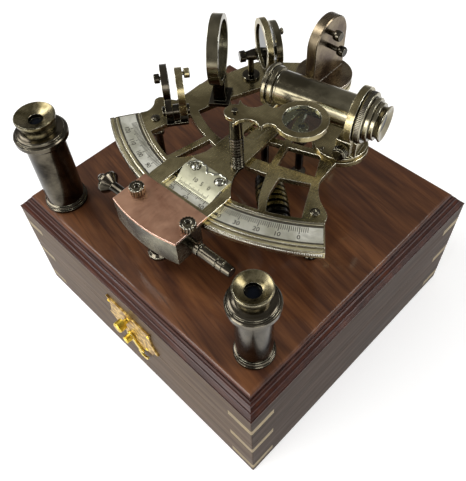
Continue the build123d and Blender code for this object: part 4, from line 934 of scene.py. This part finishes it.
@dataclass
class VernierMarks:
    """The vernier's lines and numerals on its bevel, its curled edge, and its two screws,
    each ringed in painted shadow.
    """

    bench: Bench
    bend_y: float = -141.5
    out_y: float = -153.0
    top: float = 168.7
    foot: float = 165.1
    count: int = 31
    first: float = -9.5  # x of the line at the left end
    pitch: float = 0.85
    lengths: Triple = (3.6, 2.8, 1.8)
    digit: float = 3.0
    figures_y: float = -145.4

    def slope(self, shape: Shape) -> Shape:
        """Drops each point on to the bevel: height falls evenly with y past the bend."""
        points = shape.points.copy()
        drop = (self.top - self.foot) / (self.bend_y - self.out_y)
        points[:, 2] += self.top - drop * (self.bend_y - points[:, 1])
        return Shape(points, shape.faces)

    def lines(self) -> Shape:
        """Evenly spaced lines on the bevel, longer at every fifth and tenth."""
        number = np.arange(self.count)
        x = self.first + number * self.pitch
        long = line_lengths(number, self.lengths)
        plan = np.stack([x, self.out_y + 0.5 + long / 2], axis=-1)
        sizes = np.stack([np.full(self.count, 0.3), long], axis=-1)
        return self.slope(bars(plan, np.zeros(self.count), sizes, -0.05, 0.05))

    def build(self) -> None:
        """Makes the marks, the curl and the screws."""
        self.bench.piece("vernier_lines", self.lines(), Body.INDEX_ARM, Slot.BRONZE, WAX)
        figures = [self.slope(numeral(text, self.digit).shifted(x, self.figures_y, 0.02))
                   for text, x in (("10", 0.0), ("5", 6.2), ("0", 12.6))]
        self.bench.piece("vernier_numerals", joined(figures), Body.INDEX_ARM, Slot.BRONZE, WAX)
        curl = np.array([(-12.6, -139.6), (-13.3, -137.2), (-12.0, -134.0), (-9.7, -131.9),
                         (-6.4, -131.3), (-4.4, -132.4), (-2.8, -131.6), (-1.5, -132.6),
                         (0.6, -133.9), (2.4, -136.2), (4.2, -134.8), (7.2, -134.4),
                         (9.2, -132.9), (10.6, -131.6), (13.0, -131.9), (15.6, -131.6),
                         (18.4, -133.2), (20.2, -136.4)])
        path = np.concatenate([curl, np.full((len(curl), 1), self.top)], axis=1)
        self.bench.piece("vernier_curled_edge", wire(path, 0.9, flat=0.8), Body.INDEX_ARM,
                         Slot.SILVERED, BRIGHT)
        for side, x, y, turn in (("left", -7.6, -136.8, 50), ("right", 15.1, -136.9, -42)):
            head = slotted_head(3.2, 1.7).turned(turn).shifted(x, y, self.top)
            self.bench.piece(f"vernier_screw_{side}", head, Body.INDEX_ARM, Slot.BRONZE, BRIGHT)
            # painted shadow: a blackened ring round each screw head stands for the shade in its
            # countersink
            shadow_ring = revolved([(3.9, -0.05), (3.9, 0.3), (3.3, 0.3), (3.15, 0.05)], 40)
            self.bench.piece(f"vernier_screw_shadow_ring_{side}", shadow_ring.shifted(x, y, self.top),
                             Body.INDEX_ARM, Slot.BRONZE, BRONZE)


@dataclass
class FrameScrews:
    """Slotted screws in the sextant's frame: over the legs, and round the stand's foot."""

    bench: Bench
    leg_at: tuple[tuple[float, float, float, float], ...] = ((136.5, -31.8, FRAME_TOP + 1.0, 20),
                                                             (137.8, 33.4, FRAME_TOP + 1.0, 70),
                                                             (59.5, 20.0, FRAME_TOP, 40))
    foot_middle: Pair = (52.0, -52.0)
    foot_ring: float = 15.6  # mm from the foot's middle to a screw
    foot_top: float = FRAME_TOP + 3.0

    def build(self) -> None:
        """One head for each leg, and three on the stand's foot."""
        heads = [slotted_head(2.5, 0.9).turned(turn).shifted(*about_arc(radius, at), z)
                 for radius, at, z, turn in self.leg_at]
        self.bench.piece("leg_screw_heads", joined(heads), Body.SEXTANT, Slot.BRONZE, BRONZE)
        screw = slotted_head(1.8, 0.7).shifted(self.foot_ring, 0, self.foot_top)
        rounds = [screw.turned(at).shifted(*self.foot_middle, 0) for at in (200, 250, 340)]
        self.bench.piece("stand_foot_screws", joined(rounds), Body.SEXTANT, Slot.BRONZE, BRONZE)


@dataclass
class Knurls:
    """Knurled sleeves on the turned knobs and rings."""

    bench: Bench
    cover_screws: Pair = (-20.8, 27.2)  # x of the screws in the worm's cover
    cover_y: float = -179.0
    cover_top: float = ARM_TOP + 1.8
    thumb_at: float = 63.5  # mm along the telescope's axis to the stand's thumb screw
    thumb_out: float = 10.0  # mm from that axis
    thumb_z: float = 173.5
    clamp_y: float = -187.0
    clamp_low: float = ARM_TOP - 47.5

    def sleeve(self, radius: float, low: float, high: float, ridges: int, depth: float) -> Shape:
        """A ridged sleeve just proud of a turned ring."""
        inside = radius - 0.15
        return revolved([(inside, low), (radius - 0.02, low + 0.15), (radius, low + 0.4),
                         (radius, high - 0.4), (radius - 0.02, high - 0.15), (inside, high)],
                        ridges * 6, ridges, depth)

    def build(self) -> None:
        """Knurls the cover's screws, the telescope's ring, the thumb screw and the knobs."""
        screw = self.sleeve(4.72, 0.7, 5.95, 15, 0.8)
        screws = [screw.shifted(x, self.cover_y, self.cover_top) for x in self.cover_screws]
        self.bench.piece("cover_screw_knurls", joined(screws), Body.INDEX_ARM, Slot.BRONZE,
                         TURNED, 70)
        ax, ay, _ = SCOPE_ALONG
        ring = self.sleeve(17.4, 71.3, 75.3, 96, 0.25).laid(SCOPE_START, SCOPE_ALONG)
        self.bench.piece("scope_ring_knurl", ring, Body.SEXTANT, Slot.BRONZE, BRONZE, 70)
        mouth = (SCOPE_START[0] + self.thumb_at * ax + self.thumb_out * ay,
                 SCOPE_START[1] + self.thumb_at * ay - self.thumb_out * ax, self.thumb_z)
        thumb = self.sleeve(4.82, 1.0, 6.8, 22, 0.35).laid(mouth, (ay, -ax, 0.0))
        self.bench.piece("stand_screw_knurl", thumb, Body.STAND_SCREW, Slot.BRONZE, BRONZE, 70)
        clamp = self.sleeve(7.52, 6.7, 9.8, 40, 0.35).shifted(0, self.clamp_y, self.clamp_low)
        self.bench.piece("clamp_knob_knurl", clamp, Body.CLAMP_KNOB, Slot.BRONZE, BRONZE, 70)


@dataclass
class LidBeads:
    """Two polished beads in the cove of the lid's moulded edge, mitred at the corners."""

    bench: Bench
    beads: tuple[Triple, ...] = ((6.5, 109.4, 1.05), (3.6, 106.4, 0.7))

    def build(self) -> None:
        """Carries each bead's section of (inset, height) round the board's outline."""
        half = np.array(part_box("lid_board")[1][:2]) / MM
        a = np.radians(np.linspace(-75, 165, 13))
        corners = np.array([(1, 1), (-1, 1), (-1, -1), (1, -1)])
        rings = []
        for inset, height, radius in self.beads:
            out, up = radius * np.cos(a) - inset, radius * np.sin(a) + height
            plan = corners[None] * (half[None, None] + out[:, None, None])
            level = np.broadcast_to(up[:, None, None], plan.shape[:2] + (1,))
            rings.append(sheet(np.concatenate([plan, level], axis=-1), around=True))
        self.bench.piece("lid_moulding_beads", joined(rings), Body.LID, Slot.HARDWOOD, BEADS)


@dataclass
class PostRibs:
    """Turned ribs round the magnifier's post."""

    bench: Bench
    at: Pair = (12.9, -116.3)
    radius: float = 4.55
    low: float = 179.0
    ribs: int = 6
    pitch: float = 2.6

    def build(self) -> None:
        """Each rib is a low bead; the profile goes out and in once for each."""
        up = np.linspace(0, self.ribs, self.ribs * 6 + 1)
        out = self.radius + 0.45 * np.sin(math.pi * up) ** 2 - 0.03
        profile = np.stack([out, self.low + up * self.pitch], axis=-1)
        ribs = revolved(profile.tolist(), 40).shifted(*self.at, 0)
        self.bench.piece("magnifier_post_ribs", ribs, Body.INDEX_ARM, Slot.BRONZE, BRONZE)


@dataclass
class BoxFittings:
    """Nails in the latch's plates and slotted screws in the hinges."""

    bench: Bench
    front: float = -122.9  # mm, outer face of the latch's plates
    back: float = 122.7
    hinge_x: float = 72.0

    def build(self) -> None:
        """Domed nails at the latch's ears, and three screws in each hinge leaf."""
        nail = revolved([(1.5, -0.2), (1.5, 0.1), (1.3, 0.5), (0.8, 0.8), (POLE, 0.95)], 20)
        for name, body, spots in (
                ("latch_nails_lid", Body.LID, ((-17.6, 84.5), (28.0, 84.5), (5.5, 84.0))),
                ("latch_nails_case", Body.CASE, ((-9.0, 54.5), (20.0, 54.5), (5.5, 46.5)))):
            nails = [nail.laid((x, self.front, z), FRONT) for x, z in spots]
            self.bench.piece(name, joined(nails), body, Slot.LATCH, GILT)
        for name, body, z in (("hinge_screws_lid", Body.LID, 72.5),
                              ("hinge_screws_case", Body.CASE, 47.5)):
            heads = [slotted_head(2.2, 0.7).turned(30 * k).laid((middle + x, self.back, z), BACK)
                     for middle in (-self.hinge_x, self.hinge_x)
                     for k, x in enumerate((-16, 0, 16))]
            self.bench.piece(name, joined(heads), body, Slot.LATCH, GILT)


@dataclass
class EyeLenses:
    """Eye lenses at the bottom of the eyepieces' dishes, opaque near-black:
    painted shade for the dark tubes behind them.
    """

    bench: Bench
    spares: tuple[tuple[str, float, float, float], ...] = (  # x, y and height on the lid
        ("spare_scope_1", -96.6, -94.0, 85.5), ("spare_scope_2", 101.5, -87.9, 77.0))
    spare_depth: float = 6.9  # mm, a spare eyepiece's lens under its rim
    scope_end: float = 86.9  # mm along the telescope's axis to its eyecup's end

    def build(self) -> None:
        """A shallow dome in each spare eyepiece, and one in the mounted telescope's."""
        dome = revolved([(5.2, -0.2), (5.2, 0.0), (4.4, 0.35), (3.0, 0.7), (1.5, 0.95),
                         (POLE, 1.0)], 40)
        for name, x, y, height in self.spares:
            placed = dome.shifted(x, y, LID_TOP + height - self.spare_depth)
            made = self.bench.piece(f"{name}_eye_lens", placed, Body.LID, Slot.SHADE, EYE_GLASS)
            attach(made, name)
        end = tuple(s + self.scope_end * part for s, part in zip(SCOPE_START, SCOPE_ALONG))
        lens = revolved([(5.8, -2.1), (5.6, -1.95), (3.0, -1.9), (POLE, -1.88)], 48)
        self.bench.piece("scope_eye_lens", lens.laid(end, SCOPE_ALONG), Body.EYEPIECE,
                         Slot.SHADE, EYE_GLASS)


@dataclass
class Studio:
    """The camera, floor and soft lights round the box. Places are metres."""

    azimuth: float = 47.888  # degrees, the photograph's view
    elevation: float = 53.346
    roll: float = -3.984
    place: Triple = (0.220538, -0.207647, 0.462691)
    lens: float = 43.854
    floor_half: float = 3.0
    world: float = 0.25
    glow: float = 0.36  # the paper's own light, to the camera and to gloss

    def camera(self) -> None:
        """Sets the camera where the photograph was taken from."""
        a, e = math.radians(self.azimuth), math.radians(self.elevation)
        back = Vector((math.sin(a) * math.cos(e), -math.cos(a) * math.cos(e), math.sin(e)))
        right = Vector((0, 0, 1)).cross(back).normalized()
        up = back.cross(right)
        r = math.radians(self.roll)
        right, up = (math.cos(r) * right + math.sin(r) * up,
                     -math.sin(r) * right + math.cos(r) * up)
        data = bpy.data.cameras.new("camera")
        data.sensor_width, data.lens = 36.0, self.lens
        data.clip_start, data.clip_end = 0.01, 20.0
        seen = bpy.data.objects.new("camera", data)
        seen.matrix_world = Matrix(((right.x, up.x, back.x, self.place[0]),
                                    (right.y, up.y, back.y, self.place[1]),
                                    (right.z, up.z, back.z, self.place[2]), (0, 0, 0, 1)))
        bpy.context.scene.collection.objects.link(seen)
        bpy.context.scene.camera = seen

    def lights(self) -> None:
        """Four soft lamps and a plain world."""
        for name, where, size, power in (
                ("lamp_left", (-1.1, -0.6, 1.4), 0.8, 17.0),
                ("lamp_right", (1.1, 0.8, 1.2), 0.7, 14.5),
                ("lamp_front", (-0.15, -1.4, 0.5), 0.8, 14.0),
                ("lamp_low", (1.2, -0.7, 0.45), 0.6, 4.0)):
            data = bpy.data.lights.new(name, "AREA")
            data.energy, data.size = power, size
            lamp = bpy.data.objects.new(name, data)
            lamp.location = where
            lamp.rotation_mode = "QUATERNION"
            aim = Vector((0, 0, 0.1)) - Vector(where)
            lamp.rotation_quaternion = aim.to_track_quat("-Z", "Y")
            bpy.context.scene.collection.objects.link(lamp)
        world = bpy.data.worlds.new("studio")
        world.use_nodes = True
        feed(world.node_tree.nodes["Background"], Strength=self.world, Color=(1.0, 0.98, 0.95, 1))
        bpy.context.scene.world = world

    def floor(self) -> None:
        """A plain white floor: lit paper that also shows white to the camera and to gloss."""
        h = self.floor_half
        mesh = bpy.data.meshes.new("studio_floor")
        mesh.from_pydata([(-h, -h, 0), (h, -h, 0), (h, h, 0), (-h, h, 0)], [], [(0, 1, 2, 3)])
        floor = bpy.data.objects.new("studio_floor", mesh)
        made, add, shader, place = new_material("white_paper")
        path = add("LightPath")
        through = path.outputs["Is Camera Ray"]
        for ray in ("Is Glossy Ray", "Is Transmission Ray"):
            through = add("Math", {"operation": "MAXIMUM"}, _0=through, _1=path.outputs[ray])
        part = add("Math", {"operation": "MULTIPLY"}, _0=through, _1=self.glow)
        feed(shader, Base_Color="#f2f2f2", Roughness=0.9, Emission_Strength=part,
             Emission_Color=(1, 1, 1, 1))
        mesh.materials.append(made)
        bpy.context.scene.collection.objects.link(floor)


def main() -> None:
    """Builds everything in order and reports it."""
    logging.basicConfig(level=logging.INFO)
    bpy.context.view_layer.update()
    bench = Bench()
    Dresser(bench).build()
    for assembly in (ArcMarks, LimbRack, VernierMarks, FrameScrews, Knurls, LidBeads, PostRibs,
                     BoxFittings, EyeLenses):
        assembly(bench).build()
    studio = Studio()
    studio.camera()
    studio.lights()
    studio.floor()
    bpy.context.scene.view_settings.view_transform = "Standard"


if __name__ == "__main__":
    main()
